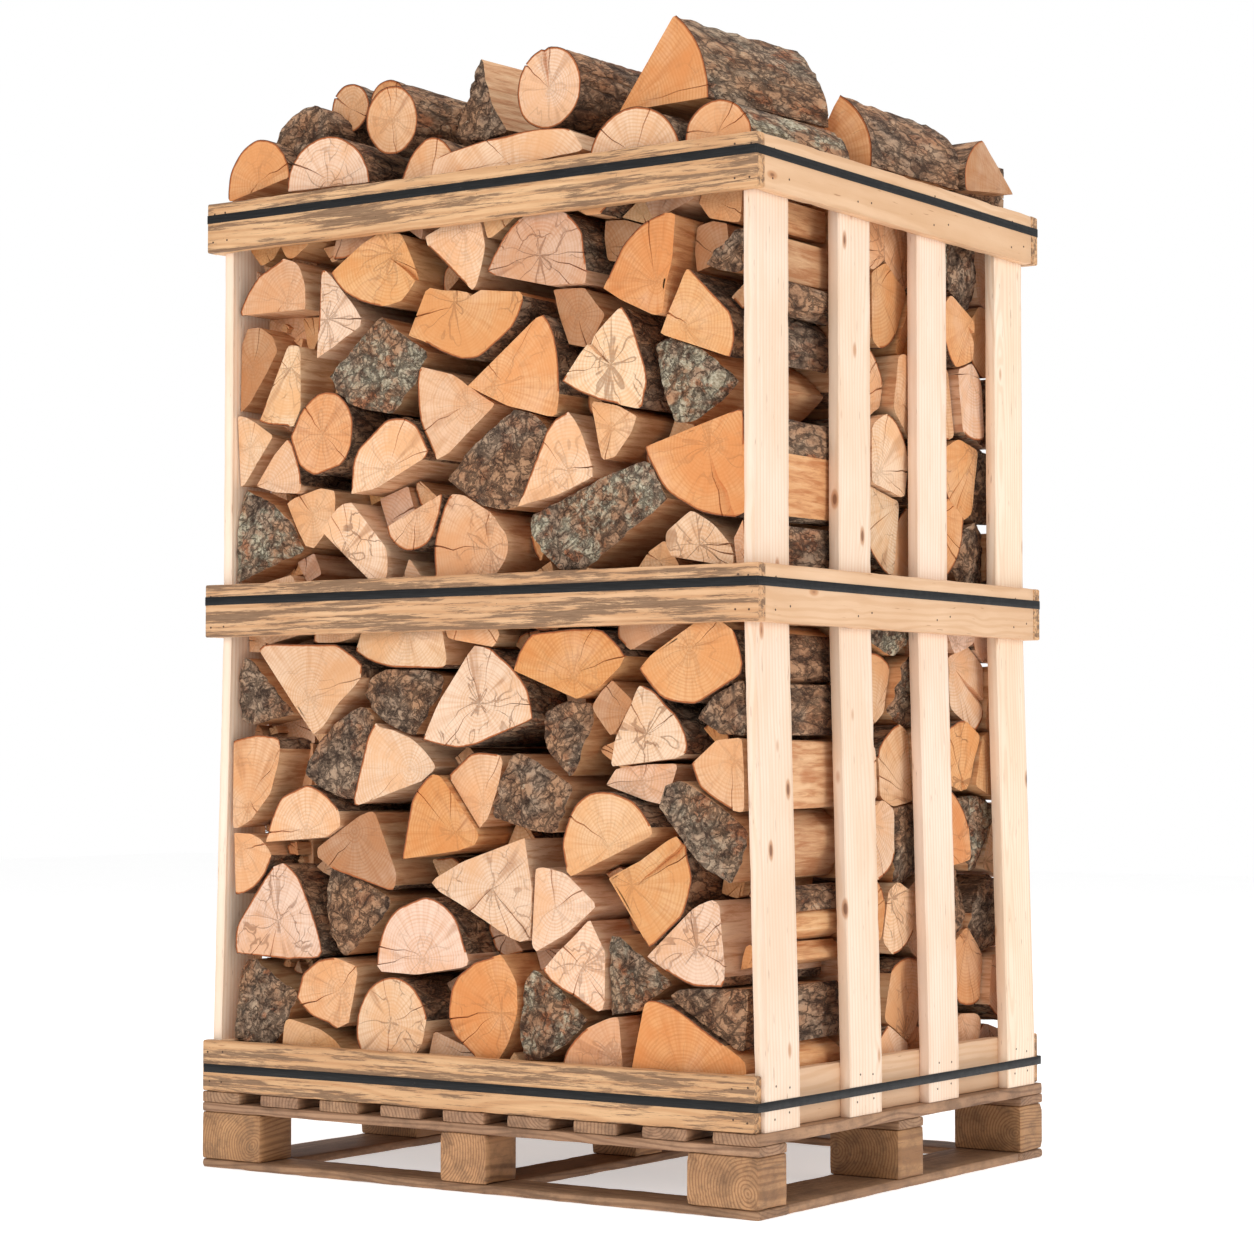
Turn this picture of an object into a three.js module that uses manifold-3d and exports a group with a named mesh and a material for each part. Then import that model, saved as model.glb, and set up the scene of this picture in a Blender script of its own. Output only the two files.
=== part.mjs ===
// A tall crate of split firewood: a wooden block pallet, posts on the two sides, three board
// collars, three flat straps, and the wood that the crate holds with a heap on top.
// Millimetres, +Z up. The origin is on the ground under the middle of the crate. The long
// side lies along X, and the open front faces -Y.
import * as THREE from 'three';
import { mergeVertices } from 'three/addons/utils/BufferGeometryUtils.js';
import Module from 'manifold-3d';

const wasm = await Module();
wasm.setup();

// The whole crate
const LENGTH = 1200;
const DEPTH = 1000;
const SEAM = 0.3;

// Pallet, from the ground up
const BASE_THICK = 16;
const BLOCK_HIGH = 85;
const STRINGER_THICK = 17;
const DECK_THICK = 20;
const BASE_WIDE = 96;
const BLOCK_DEEP = 88;
const OUTER_BLOCK_LONG = 140;
const MIDDLE_BLOCK_LONG = 100;
const DECK_BOARDS = 9;
const DECK_WIDE = 90;

// Collars: one board on each side at each level
const COLLAR_THICK = 25;
const SIDE_BOARD_THICK = 22;
const LOW_COLLAR_HIGH = 93;
const MID_COLLAR_LOW = 967;
const MID_COLLAR_HIGH = 97;
const TOP_COLLAR_LOW = 1678;
const TOP_COLLAR_HIGH = 92;
const LOW_COLLAR_RIGHT_END = 590;

// Posts: four on each side, nailed inside the upper collars and outside the low one
const POST_THICK = 20;
const POST_WIDE = 109;
const POST_CENTRES = [-420.5, -150, 125, 420.5];
const POST_FOOT_OUT = 597;

// Straps
const STRAP_WIDE = 17;
const STRAP_THICK = 1;
const STRAP_LEVELS = { low: 172, mid: 1025, top: 1732 };

// Wood
const BARK_STEP = THREE.MathUtils.degToRad(12);
const HEAP_RISE = 95;
const HEAP_FOOT = 6;

const blockLow = BASE_THICK;
const stringerLow = blockLow + BLOCK_HIGH;
const deckLow = stringerLow + STRINGER_THICK;
const deckTop = deckLow + DECK_THICK;
const crateTop = TOP_COLLAR_LOW + TOP_COLLAR_HIGH;
const halfLong = LENGTH / 2;
const halfDeep = DEPTH / 2;
const insideDeep = halfDeep - COLLAR_THICK;
const sideInner = halfLong - SIDE_BOARD_THICK;
const stackHalf = sideInner - POST_THICK;

function finish(color, roughness, metalness = 0) {
  return new THREE.MeshStandardMaterial({ color, roughness, metalness });
}

const oldPine = finish(0x9c7a55, 0.85);
const blockWood = finish(0xb98d60, 0.85);
const stainedPine = finish(0xc39a68, 0.75);
const palePine = finish(0xe6c79a, 0.65);
const postPine = finish(0xf0dcb9, 0.65);
const strapPlastic = finish(0x17181a, 0.4);
const splitWood = finish(0xc98f5c, 0.85);
const logWood = finish(0xd8ab7c, 0.85);

const crate = new THREE.Group();

function add(name, geometry, material) {
  const mesh = new THREE.Mesh(geometry, material);
  mesh.name = name;
  crate.add(mesh);
  return mesh;
}

// A sawn board between two values on each axis, half a seam short of each of them.
function board(name, [x0, x1], [y0, y1], [z0, z1], material) {
  const geometry = new THREE.BoxGeometry(x1 - x0 - SEAM, y1 - y0 - SEAM, z1 - z0 - SEAM);
  const mesh = add(name, geometry, material);
  mesh.position.set((x0 + x1) / 2, (y0 + y1) / 2, (z0 + z1) / 2);
}

function around(centre, size) {
  return [centre - size / 2, centre + size / 2];
}

// Pallet: base boards round the edge and down the middle, nine blocks, three stringers and
// nine deck boards.
const baseHeights = [-SEAM / 2, BASE_THICK];
const rowCentres = { front: -halfDeep + BLOCK_DEEP / 2, middle: 0, back: halfDeep - BLOCK_DEEP / 2 };
const columns = {
  left: [-halfLong, -halfLong + OUTER_BLOCK_LONG],
  centre: around(0, MIDDLE_BLOCK_LONG),
  right: [halfLong - OUTER_BLOCK_LONG, halfLong],
};
const baseInner = halfDeep - BASE_WIDE;

function addPallet() {
  board('base_front', [-halfLong, halfLong], [-halfDeep, -baseInner], baseHeights, oldPine);
  board('base_back', [-halfLong, halfLong], [baseInner, halfDeep], baseHeights, oldPine);
  for (const [column, across] of Object.entries(columns)) {
    board(`base_${column}`, across, [-baseInner, baseInner], baseHeights, oldPine);
  }
  for (const [row, centre] of Object.entries(rowCentres)) {
    const deep = around(centre, BLOCK_DEEP);
    for (const [column, across] of Object.entries(columns)) {
      board(`block_${row}_${column}`, across, deep, [blockLow, stringerLow], blockWood);
    }
    board(`stringer_${row}`, [-halfLong, halfLong], deep, [stringerLow, deckLow], oldPine);
  }
  const step = (LENGTH - DECK_WIDE) / (DECK_BOARDS - 1);
  for (let i = 0; i < DECK_BOARDS; i += 1) {
    const across = around(-halfLong + DECK_WIDE / 2 + i * step, DECK_WIDE);
    board(`deck_${i + 1}`, across, [-halfDeep, halfDeep], [deckLow, deckTop], oldPine);
  }
}

// Collars: front and back boards run the full length, and side boards fit between them. The
// low side boards stand inside the posts, and the others outside.
function addCollars() {
  const levels = {
    low: [deckTop, deckTop + LOW_COLLAR_HIGH],
    mid: [MID_COLLAR_LOW, MID_COLLAR_LOW + MID_COLLAR_HIGH],
    top: [TOP_COLLAR_LOW, crateTop],
  };
  for (const [level, heights] of Object.entries(levels)) {
    const low = level === 'low';
    const long = [-halfLong, low ? LOW_COLLAR_RIGHT_END : halfLong];
    board(`collar_${level}_front`, long, [-halfDeep, -insideDeep], heights, stainedPine);
    board(`collar_${level}_back`, long, [insideDeep, halfDeep], heights, stainedPine);
    const outer = low ? POST_FOOT_OUT - POST_THICK : halfLong;
    const inner = outer - SIDE_BOARD_THICK;
    board(`collar_${level}_left`, [-outer, -inner], [-insideDeep, insideDeep], heights, palePine);
    board(`collar_${level}_right`, [inner, outer], [-insideDeep, insideDeep], heights, palePine);
  }
}

// A post stands on the deck, leans in from the low collar to the mid one, and is upright
// above that.
function postGeometry() {
  const foot = POST_FOOT_OUT - SEAM / 2;
  const head = sideInner - SEAM / 2;
  const thick = POST_THICK - SEAM;
  const bottom = deckTop + SEAM / 2;
  const bends = [deckTop + LOW_COLLAR_HIGH, MID_COLLAR_LOW];
  const top = crateTop;
  const outline = new THREE.Shape([
    new THREE.Vector2(foot, bottom),
    new THREE.Vector2(foot, bends[0]),
    new THREE.Vector2(head, bends[1]),
    new THREE.Vector2(head, top),
    new THREE.Vector2(head - thick, top),
    new THREE.Vector2(head - thick, bends[1]),
    new THREE.Vector2(foot - thick, bends[0]),
    new THREE.Vector2(foot - thick, bottom),
  ]);
  const geometry = new THREE.ExtrudeGeometry(outline, { depth: POST_WIDE, bevelEnabled: false });
  geometry.translate(0, 0, -POST_WIDE / 2);
  geometry.rotateX(Math.PI / 2);
  return geometry;
}

function addPosts() {
  POST_CENTRES.forEach((centre, i) => {
    const right = add(`post_right_${i + 1}`, postGeometry(), postPine);
    right.position.set(0, centre, 0);
    const left = add(`post_left_${i + 1}`, postGeometry(), postPine);
    left.rotation.z = Math.PI;
    left.position.set(0, centre, 0);
  });
}

// A strap is a thin closed band round the corners that it bears on.
function bandOutline(corners, off) {
  const points = corners.map(([x, y]) => new THREE.Vector2(x, y));
  return points.map((point, i) => {
    const before = points[(i + points.length - 1) % points.length];
    const after = points[(i + 1) % points.length];
    const into = point.clone().sub(before).normalize();
    const out = after.clone().sub(point).normalize();
    const normal = new THREE.Vector2(into.y + out.y, -into.x - out.x).normalize();
    const reach = off / Math.max(0.7, normal.dot(new THREE.Vector2(into.y, -into.x)));
    return point.clone().addScaledVector(normal, reach);
  });
}

function addStrap(level, corners) {
  const outline = new THREE.Shape(bandOutline(corners, SEAM + STRAP_THICK));
  outline.holes.push(new THREE.Path(bandOutline(corners, SEAM).reverse()));
  const geometry = new THREE.ExtrudeGeometry(outline, { depth: STRAP_WIDE, bevelEnabled: false });
  const strap = add(`strap_${level}`, geometry, strapPlastic);
  strap.position.z = STRAP_LEVELS[level];
}

function addStraps() {
  const crateCorners = [
    [-halfLong, -halfDeep],
    [halfLong, -halfDeep],
    [halfLong, halfDeep],
    [-halfLong, halfDeep],
  ];
  const postEdge = POST_CENTRES[3] + POST_WIDE / 2;
  const lowCorners = [
    [-halfLong, -halfDeep],
    [LOW_COLLAR_RIGHT_END, -halfDeep],
    [POST_FOOT_OUT, -postEdge],
    [POST_FOOT_OUT, postEdge],
    [LOW_COLLAR_RIGHT_END, halfDeep],
    [-halfLong, halfDeep],
  ];
  addStrap('low', lowCorners);
  addStrap('mid', crateCorners);
  addStrap('top', crateCorners);
}

// A log's section is a slice of a round trunk: the pith, and an arc of bark from one angle to
// another. A slice of half a turn or more needs no point at the pith.
function sectionPoints(radius, start, sweep) {
  const steps = Math.ceil(sweep / BARK_STEP);
  const round = sweep > 2 * Math.PI - BARK_STEP;
  const points = [];
  for (let i = 0; i < steps + (round ? 0 : 1); i += 1) {
    const angle = start + (sweep * i) / steps;
    points.push(new THREE.Vector2(radius * Math.cos(angle), radius * Math.sin(angle)));
  }
  if (sweep < Math.PI - BARK_STEP) points.push(new THREE.Vector2(0, 0));
  return points;
}

// "grow" makes the log larger all round, by moving its pith back and its bark out.
function logGeometry({ radius, from, to, long, heading, at }, grow = 0) {
  const start = THREE.MathUtils.degToRad(from);
  const sweep = THREE.MathUtils.degToRad(to - from);
  const back = sweep > Math.PI ? 0 : grow / Math.sin(sweep / 2);
  const outline = new THREE.Shape(sectionPoints(radius + grow + back, start, sweep));
  const depth = long + 2 * grow;
  const geometry = new THREE.ExtrudeGeometry(outline, { depth, bevelEnabled: false });
  const middle = start + sweep / 2;
  geometry.translate(-back * Math.cos(middle), -back * Math.sin(middle), -depth / 2);
  geometry.rotateX(Math.PI / 2);
  geometry.rotateZ(-THREE.MathUtils.degToRad(heading));
  geometry.translate(...at);
  return geometry;
}

// The logs on top of the heap that lie free. "at" is the pith at half length.
const heapLogs = [
  { radius: 192, from: 0, to: 53, long: 340, heading: 6, at: [296, -255, 1850] },
  { radius: 66, from: 0, to: 180, long: 310, heading: 2, at: [508, -312, 1772] },
  { radius: 135, from: -8, to: 58, long: 320, heading: 2, at: [440, 90, 1800] },
  { radius: 72, from: 0, to: 360, long: 320, heading: 4, at: [144, -275, 1909] },
  { radius: 147, from: -118, to: -68, long: 300, heading: 8, at: [-34, -240, 1994] },
  { radius: 62, from: 0, to: 360, long: 330, heading: 7, at: [-205, -260, 1896] },
  { radius: 98, from: 0, to: 180, long: 310, heading: 0, at: [334, -312, 1748] },
  { radius: 92, from: 0, to: 180, long: 320, heading: 0, at: [-345, -300, 1782] },
];

function asSolid(geometry) {
  const bare = geometry.clone();
  bare.deleteAttribute('normal');
  bare.deleteAttribute('uv');
  const merged = mergeVertices(bare, 1e-3);
  return new wasm.Manifold(new wasm.Mesh({
    numProp: 3,
    vertProperties: new Float32Array(merged.attributes.position.array),
    triVerts: new Uint32Array(merged.index.array),
  }));
}

function asGeometry(solid) {
  const mesh = solid.getMesh();
  const geometry = new THREE.BufferGeometry();
  geometry.setAttribute('position', new THREE.BufferAttribute(mesh.vertProperties, 3));
  geometry.setIndex(new THREE.BufferAttribute(mesh.triVerts, 1));
  geometry.computeVertexNormals();
  return geometry;
}

// The rest of the heap is one mound on the stack, cut away where the free logs lie in it.
function moundGeometry(bottom, height) {
  const high = crateTop + HEAP_RISE - bottom;
  const geometry = new THREE.BoxGeometry(2 * stackHalf - SEAM, 2 * insideDeep - SEAM, high, 14, 12, 1);
  geometry.translate(0, 0, bottom + high / 2);
  const places = geometry.attributes.position;
  for (let i = 0; i < places.count; i += 1) {
    if (places.getZ(i) > bottom + 1) {
      const across = Math.abs(places.getX(i)) / stackHalf;
      const deep = Math.abs(places.getY(i)) / insideDeep;
      places.setZ(i, height(across, deep));
    }
  }
  return geometry;
}

function addWood() {
  const split = (MID_COLLAR_LOW + MID_COLLAR_LOW + MID_COLLAR_HIGH) / 2;
  const moundLow = TOP_COLLAR_LOW + TOP_COLLAR_HIGH / 2;
  const across = [-stackHalf, stackHalf];
  const lowAcross = [SIDE_BOARD_THICK + POST_THICK - POST_FOOT_OUT, POST_FOOT_OUT - SIDE_BOARD_THICK - POST_THICK];
  const deep = [-insideDeep, insideDeep];
  board('stack_lower', lowAcross, deep, [deckTop, split], splitWood);
  board('stack_upper', across, deep, [split, moundLow], splitWood);
  const height = (x, y) => crateTop - HEAP_FOOT + HEAP_RISE * Math.sqrt((1 - x ** 4) * (1 - y ** 4));
  let mound = asSolid(moundGeometry(moundLow + SEAM, height));
  for (const log of heapLogs) {
    mound = mound.subtract(asSolid(logGeometry(log, SEAM)));
  }
  add('heap_mound', asGeometry(mound), splitWood);
  heapLogs.forEach((log, i) => add(`heap_log_${i + 1}`, logGeometry(log), logWood));
}

addPallet();
addCollars();
addPosts();
addStraps();
addWood();

export default crate;
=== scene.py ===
import math

import bpy
import numpy as np
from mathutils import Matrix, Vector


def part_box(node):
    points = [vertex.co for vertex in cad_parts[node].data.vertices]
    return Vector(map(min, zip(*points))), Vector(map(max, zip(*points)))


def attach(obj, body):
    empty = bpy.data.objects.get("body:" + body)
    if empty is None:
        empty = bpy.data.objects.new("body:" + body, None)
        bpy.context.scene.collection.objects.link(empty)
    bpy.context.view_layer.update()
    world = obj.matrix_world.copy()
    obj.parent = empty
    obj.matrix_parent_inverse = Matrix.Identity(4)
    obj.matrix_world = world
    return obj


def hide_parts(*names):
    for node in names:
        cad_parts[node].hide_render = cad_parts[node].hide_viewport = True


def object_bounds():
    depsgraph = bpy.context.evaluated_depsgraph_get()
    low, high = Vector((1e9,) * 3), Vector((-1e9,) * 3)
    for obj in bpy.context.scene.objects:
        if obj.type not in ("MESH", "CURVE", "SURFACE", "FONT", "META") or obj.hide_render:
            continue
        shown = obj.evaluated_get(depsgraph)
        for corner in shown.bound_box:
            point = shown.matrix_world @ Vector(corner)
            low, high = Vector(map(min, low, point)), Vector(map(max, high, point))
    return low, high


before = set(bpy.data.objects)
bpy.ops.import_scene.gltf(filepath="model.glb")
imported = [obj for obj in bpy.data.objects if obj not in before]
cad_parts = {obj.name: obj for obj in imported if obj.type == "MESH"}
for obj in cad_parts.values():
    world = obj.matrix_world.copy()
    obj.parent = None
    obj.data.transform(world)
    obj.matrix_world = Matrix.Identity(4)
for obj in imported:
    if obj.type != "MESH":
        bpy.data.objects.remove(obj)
cad_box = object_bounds()

MM = 0.001

# ---------------------------------------------------------------- small maths


def linear(r, g, b):
    """A colour given in 0-255 display values, as the linear value a shader takes."""
    out = []
    for c in (r, g, b):
        c = c / 255
        out.append(c / 12.92 if c <= 0.04045 else ((c + 0.055) / 1.055) ** 2.4)
    return tuple(out)


def wave_ring(count, rng, waves, power=1.0, first=2):
    """Smooth noise around a closed ring, about -1 to 1."""
    t = np.arange(count) * 2 * math.pi / count
    out = np.zeros(count)
    total = 0
    for k in range(first, waves + first):
        size = 1 / (k - first + 1) ** power
        out += size * np.cos(k * t + rng.uniform(0, 2 * math.pi))
        total += size
    return out / total


def wave_line(x, rng, length, waves=4):
    """Smooth noise along a line, about -1 to 1, whose longest wave is length."""
    out = np.zeros(len(x))
    for k in range(1, waves + 1):
        out += np.cos(x * 2 * math.pi * k / length + rng.uniform(0, 2 * math.pi)) / k
    return out / 1.6


def turned(points, degrees):
    a = math.radians(degrees)
    c, s = math.cos(a), math.sin(a)
    return points @ np.array([[c, s], [-s, c]])


# ------------------------------------------------------------- log outlines

RING = 52  # points around a log
FINE = 40  # points along each edge of an outline before it is resampled

# A log's end is a ring of corners, counter-clockwise with its bark upward.
# Each corner is (x, z, bulge of the edge that follows, whether that edge is bark).


def sector(half_angle):
    a = math.radians(half_angle)
    x, z = math.sin(a), math.cos(a)
    bulge = (1 - math.cos(a)) / (2 * math.sin(a))
    return [(0, 0, 0, 0), (x, z, bulge, 1), (-x, z, 0, 0)]


def cut_round(half_angle):
    a = math.radians(half_angle)
    x, z = math.sin(a), math.cos(a)
    bulge = (1 - math.cos(a)) / (2 * math.sin(a))
    return [(x, z, bulge, 1), (-x, z, 0, 0)]


SHAPES = {  # corners, and where the pith is
    "half": (cut_round(90), (0, 0.08)),
    "most": (cut_round(125), (0.05, 0.0)),
    "low": (cut_round(62), (0, 0.25)),
    "quarter": (sector(46), (0, 0.08)),
    "wedge": (sector(31), (0, 0.05)),
    "fan": (sector(64), (0, 0.1)),
    "round": ([(1, 0, 0.5, 1), (-1, 0, 0.5, 1)], (0.06, 0.05)),
    "slab": ([(-1, 0, 0, 0), (1, 0, 0, 0), (0.85, 0.4, 0.07, 1), (-0.9, 0.36, 0, 0)], (0.1, -0.9)),
    "tri": ([(0, -1, 0, 0), (0.87, 0.5, 0.07, 1), (-0.87, 0.5, 0, 0)], (0, -0.9)),
    "split3": ([(0.05, -1, 0.02, 0), (0.87, 0.5, 0.04, 0), (-0.8, 0.55, 0, 0)], (0.5, -0.9)),
    "split4": ([(-0.9, -0.5, 0, 0), (0.6, -0.9, 0, 0), (1.0, 0.35, 0.03, 0), (-0.5, 0.9, 0, 0)], (0.3, -1.2)),
}


def walk(corners):
    """Evenly spaced points around a ring of corners, and how much each is bark."""
    pts, flags = [], []
    n = len(corners)
    for i, (x0, z0, bulge, bark) in enumerate(corners):
        x1, z1 = corners[(i + 1) % n][:2]
        t = np.arange(FINE) / FINE
        p0, p1 = np.array([x0, z0], float), np.array([x1, z1], float)
        if bulge > 1e-6:
            chord = p1 - p0
            half = np.linalg.norm(chord) / 2
            sag = bulge * 2 * half
            radius = (half * half + sag * sag) / (2 * sag)
            out = np.array([chord[1], -chord[0]]) / (2 * half)
            mid = (p0 + p1) / 2 + out * (sag - radius)
            a0 = math.atan2(*(p0 - mid)[::-1])
            a1 = math.atan2(*(p1 - mid)[::-1])
            while a1 <= a0:
                a1 += 2 * math.pi
            a = a0 + (a1 - a0) * t
            pts.append(mid + radius * np.stack([np.cos(a), np.sin(a)], 1))
        else:
            pts.append(p0 + (p1 - p0) * t[:, None])
        flags.append(np.full(FINE, float(bark)))
    return resample(np.concatenate(pts), np.concatenate(flags))


def resample(pts, flags, count=RING):
    closed = np.concatenate([pts, pts[:1]])
    step = np.linalg.norm(np.diff(closed, axis=0), axis=1)
    along = np.concatenate([[0], np.cumsum(step)])
    at = np.arange(count) / count * along[-1]
    x = np.interp(at, along, closed[:, 0])
    z = np.interp(at, along, closed[:, 1])
    index = np.clip(np.searchsorted(along, at, side="right") - 1, 0, len(flags) - 1)
    return np.stack([x, z], 1), flags[index]


def end_outline(kind, width, height, bark_at, rng):
    """The outline of a log's end, centred on the middle of its box."""
    corners, pith = SHAPES[kind]
    pts, bark = walk(corners)
    pts = turned(pts, bark_at - 90)
    pith = turned(np.array([pith], float), bark_at - 90)[0]
    low, high = pts.min(0), pts.max(0)
    scale = np.array([width, height]) / (high - low)
    middle = (low + high) / 2
    pts = (pts - middle) * scale
    pith = (pith - middle) * scale
    size = math.sqrt(width * height)
    rough = wave_ring(RING, rng, 9, 0.8) * (0.02 * bark + 0.008) + wave_ring(RING, rng, 20, 0.2, 8) * 0.006
    out = pts / np.maximum(np.linalg.norm(pts, axis=1, keepdims=True), 1e-6)
    pts = pts + out * rough[:, None] * size
    pts = (np.roll(pts, 1, 0) + 4 * pts + np.roll(pts, -1, 0)) / 6
    return pts, bark, pith


# ------------------------------------------------------ keeping logs apart


def signed_gap(points, ring):
    """Distance from each point to a ring, negative inside, and the way out of it."""
    a, b = ring, np.roll(ring, -1, 0)
    ab = b - a
    ap = points[:, None, :] - a[None]
    t = np.clip((ap * ab[None]).sum(2) / np.maximum((ab * ab).sum(1), 1e-12)[None], 0, 1)
    near = a[None] + t[:, :, None] * ab[None]
    d = np.linalg.norm(points[:, None, :] - near, axis=2)
    k = d.argmin(1)
    rows = np.arange(len(points))
    dist, close = d[rows, k], near[rows, k]
    z = points[:, 1:2]
    crosses = (a[None, :, 1] > z) != (b[None, :, 1] > z)
    with np.errstate(divide="ignore", invalid="ignore"):
        x_at = (b[:, 0] - a[:, 0]) * (z - a[:, 1]) / (b[:, 1] - a[:, 1]) + a[:, 0]
    inside = (crosses & (points[:, 0:1] < x_at)).sum(1) % 2 == 1
    way = (points - close) / np.maximum(dist, 1e-9)[:, None]
    way[inside] *= -1
    return np.where(inside, -dist, dist), way


def part_logs(rings, gap, low, high, passes):
    """Moves the rings' points until no ring is inside another one."""
    for _ in range(passes):
        boxes = [(r.min(0) - gap, r.max(0) + gap) for r in rings]
        moves = [np.zeros_like(r) for r in rings]
        for i in range(len(rings)):
            for j in range(len(rings)):
                if i == j or (boxes[i][0] > boxes[j][1]).any() or (boxes[i][1] < boxes[j][0]).any():
                    continue
                dist, way = signed_gap(rings[i], rings[j])
                push = np.clip(gap - dist, 0, None) * 0.5
                better = push > np.linalg.norm(moves[i], axis=1)
                moves[i][better] = (way * push[:, None])[better]
        for i, r in enumerate(rings):
            rings[i] = np.clip(r + moves[i], low, high)
    return rings


def cut_apart(rings, barks, gap):
    """Trims overlapping rings along the straight line through their overlap, so that both stay convex."""
    for _ in range(2):
        for i in range(len(rings)):
            for j in range(i + 1, len(rings)):
                a, b = rings[i], rings[j]
                if (a.min(0) > b.max(0)).any() or (b.min(0) > a.max(0)).any():
                    continue
                in_b = a[signed_gap(a, b)[0] < 0]
                in_a = b[signed_gap(b, a)[0] < 0]
                shared = np.concatenate([in_b, in_a])
                if not len(shared):
                    continue
                between = b.mean(0) - a.mean(0)
                between /= max(np.linalg.norm(between), 1e-9)
                normal = between
                if len(shared) > 3:
                    spread = shared - shared.mean(0)
                    size, axes = np.linalg.eigh(spread.T @ spread)
                    if size[1] > 2.0 * max(size[0], 1e-12) and abs(axes[:, 0] @ between) > 0.35:
                        normal = axes[:, 0] * np.sign(axes[:, 0] @ between)
                point = shared.mean(0)
                rings[i], barks[i] = trimmed(a, barks[i], point - normal * gap / 2, normal)
                rings[j], barks[j] = trimmed(b, barks[j], point + normal * gap / 2, -normal)
    return rings, barks


def trimmed(ring, bark, point, normal):
    poly = clip(ring, point, normal)
    if len(poly) < 8:
        return ring, bark
    new, _ = resample(poly, np.zeros(len(poly)))
    nearest = np.linalg.norm(new[:, None] - ring[None], axis=2).argmin(1)
    return new, bark[nearest]


def empty_spots(rings, low, high, smallest, largest, most=90):
    """Middles and sizes of the gaps that are left between rings, the widest first."""
    step = 9 * MM
    gx, gz = np.meshgrid(np.arange(low[0] + step, high[0], step), np.arange(low[1] + step, high[1], step))
    grid = np.stack([gx.ravel(), gz.ravel()], 1)
    room = np.minimum(grid - low, high - grid).min(1)
    for r in rings:
        near = ((grid > r.min(0) - largest) & (grid < r.max(0) + largest)).all(1)
        if near.any():
            d, _ = signed_gap(grid[near], r)
            room[near] = np.minimum(room[near], d)
    found = []
    for _ in range(most):
        k = room.argmax()
        if room[k] < smallest:
            break
        size = min(room[k], largest)
        found.append((grid[k].copy(), size))
        room = np.minimum(room, np.linalg.norm(grid - grid[k], axis=1) - size * 1.05)
    return found


# ------------------------------------------------------------ making meshes


class Pile:
    """Lofted solids that become one object. Each has a ring of points at each station."""

    def __init__(self):
        self.count = 0
        self.parts = {k: [] for k in ("verts", "quads", "tris", "quad_mat", "tri_mat", "log", "tone", "mix")}

    def loft(self, rings, pole0, pole1, log, log0, log1, tone, mix, mix0, mix1, mats, mat0, mat1):
        """rings is stations x points x 3. mats is (stations - 1) x points, a material for each face."""
        k, n = rings.shape[:2]
        base = self.count
        idx = base + np.arange(k * n).reshape(k, n)
        nxt = np.roll(idx, -1, 1)
        quads = np.stack([idx[:-1], idx[1:], nxt[1:], nxt[:-1]], -1).reshape(-1, 4)
        p0, p1 = base + k * n, base + k * n + 1
        tri0 = np.stack([np.full(n, p0), idx[0], nxt[0]], -1)
        tri1 = np.stack([np.full(n, p1), nxt[-1], idx[-1]], -1)
        p = self.parts
        p["verts"].append(np.concatenate([rings.reshape(-1, 3), [pole0], [pole1]]))
        p["quads"].append(quads)
        p["tris"].append(np.concatenate([tri0, tri1]))
        p["quad_mat"].append(mats.reshape(-1))
        p["tri_mat"].append(np.concatenate([np.full(n, mat0), np.full(n, mat1)]))
        p["log"].append(np.concatenate([log.reshape(-1, 3), [log0], [log1]]))
        p["tone"].append(np.tile(np.array([*tone, 1.0]), (k * n + 2, 1)))
        p["mix"].append(np.concatenate([mix.reshape(-1, 4), [mix0], [mix1]]))
        self.count += k * n + 2

    def build(self, name, materials, nodes=(), sharp=38):
        p = {k: np.concatenate(v) for k, v in self.parts.items()}
        mesh = bpy.data.meshes.new(name)
        nv, nq, nt = len(p["verts"]), len(p["quads"]), len(p["tris"])
        mesh.vertices.add(nv)
        mesh.vertices.foreach_set("co", p["verts"].astype(np.float32).ravel())
        mesh.loops.add(nq * 4 + nt * 3)
        corners = np.concatenate([p["quads"].ravel(), p["tris"].ravel()])
        mesh.loops.foreach_set("vertex_index", corners.astype(np.int32))
        mesh.polygons.add(nq + nt)
        starts = np.concatenate([np.arange(nq) * 4, nq * 4 + np.arange(nt) * 3])
        mesh.polygons.foreach_set("loop_start", starts.astype(np.int32))
        finish = np.concatenate([p["quad_mat"], p["tri_mat"]])
        mesh.polygons.foreach_set("material_index", finish.astype(np.int32))
        mesh.update(calc_edges=True)
        for label, kind, field in (("LOG", "FLOAT_VECTOR", "vector"), ("TONE", "FLOAT_COLOR", "color"),
                                   ("MIX", "FLOAT_COLOR", "color")):
            layer = mesh.attributes.new(label, kind, "POINT")
            layer.data.foreach_set(field, p[label.lower()].astype(np.float32).ravel())
        mesh.polygons.foreach_set("use_smooth", np.ones(nq + nt, bool))
        mesh.set_sharp_from_angle(angle=math.radians(sharp))
        for m in materials:
            mesh.materials.append(m)
        obj = bpy.data.objects.new(name, mesh)
        bpy.context.scene.collection.objects.link(obj)
        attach(obj, "root")
        if nodes:
            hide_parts(*nodes)
        return obj


# ------------------------------------------------------------------- logs

END, SPLIT, BARK = 0, 1, 2

TONES = {
    "pink": linear(238, 206, 180),
    "pale": linear(236, 200, 166),
    "tan": linear(230, 186, 146),
    "gold": linear(226, 172, 122),
    "orange": linear(220, 158, 104),
    "brown": linear(190, 144, 106),
    "grey": linear(210, 172, 142),
}
CAP_RINGS = (0.18, 0.4, 0.62, 0.8, 0.9)
RIM = 6 * MM


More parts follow.
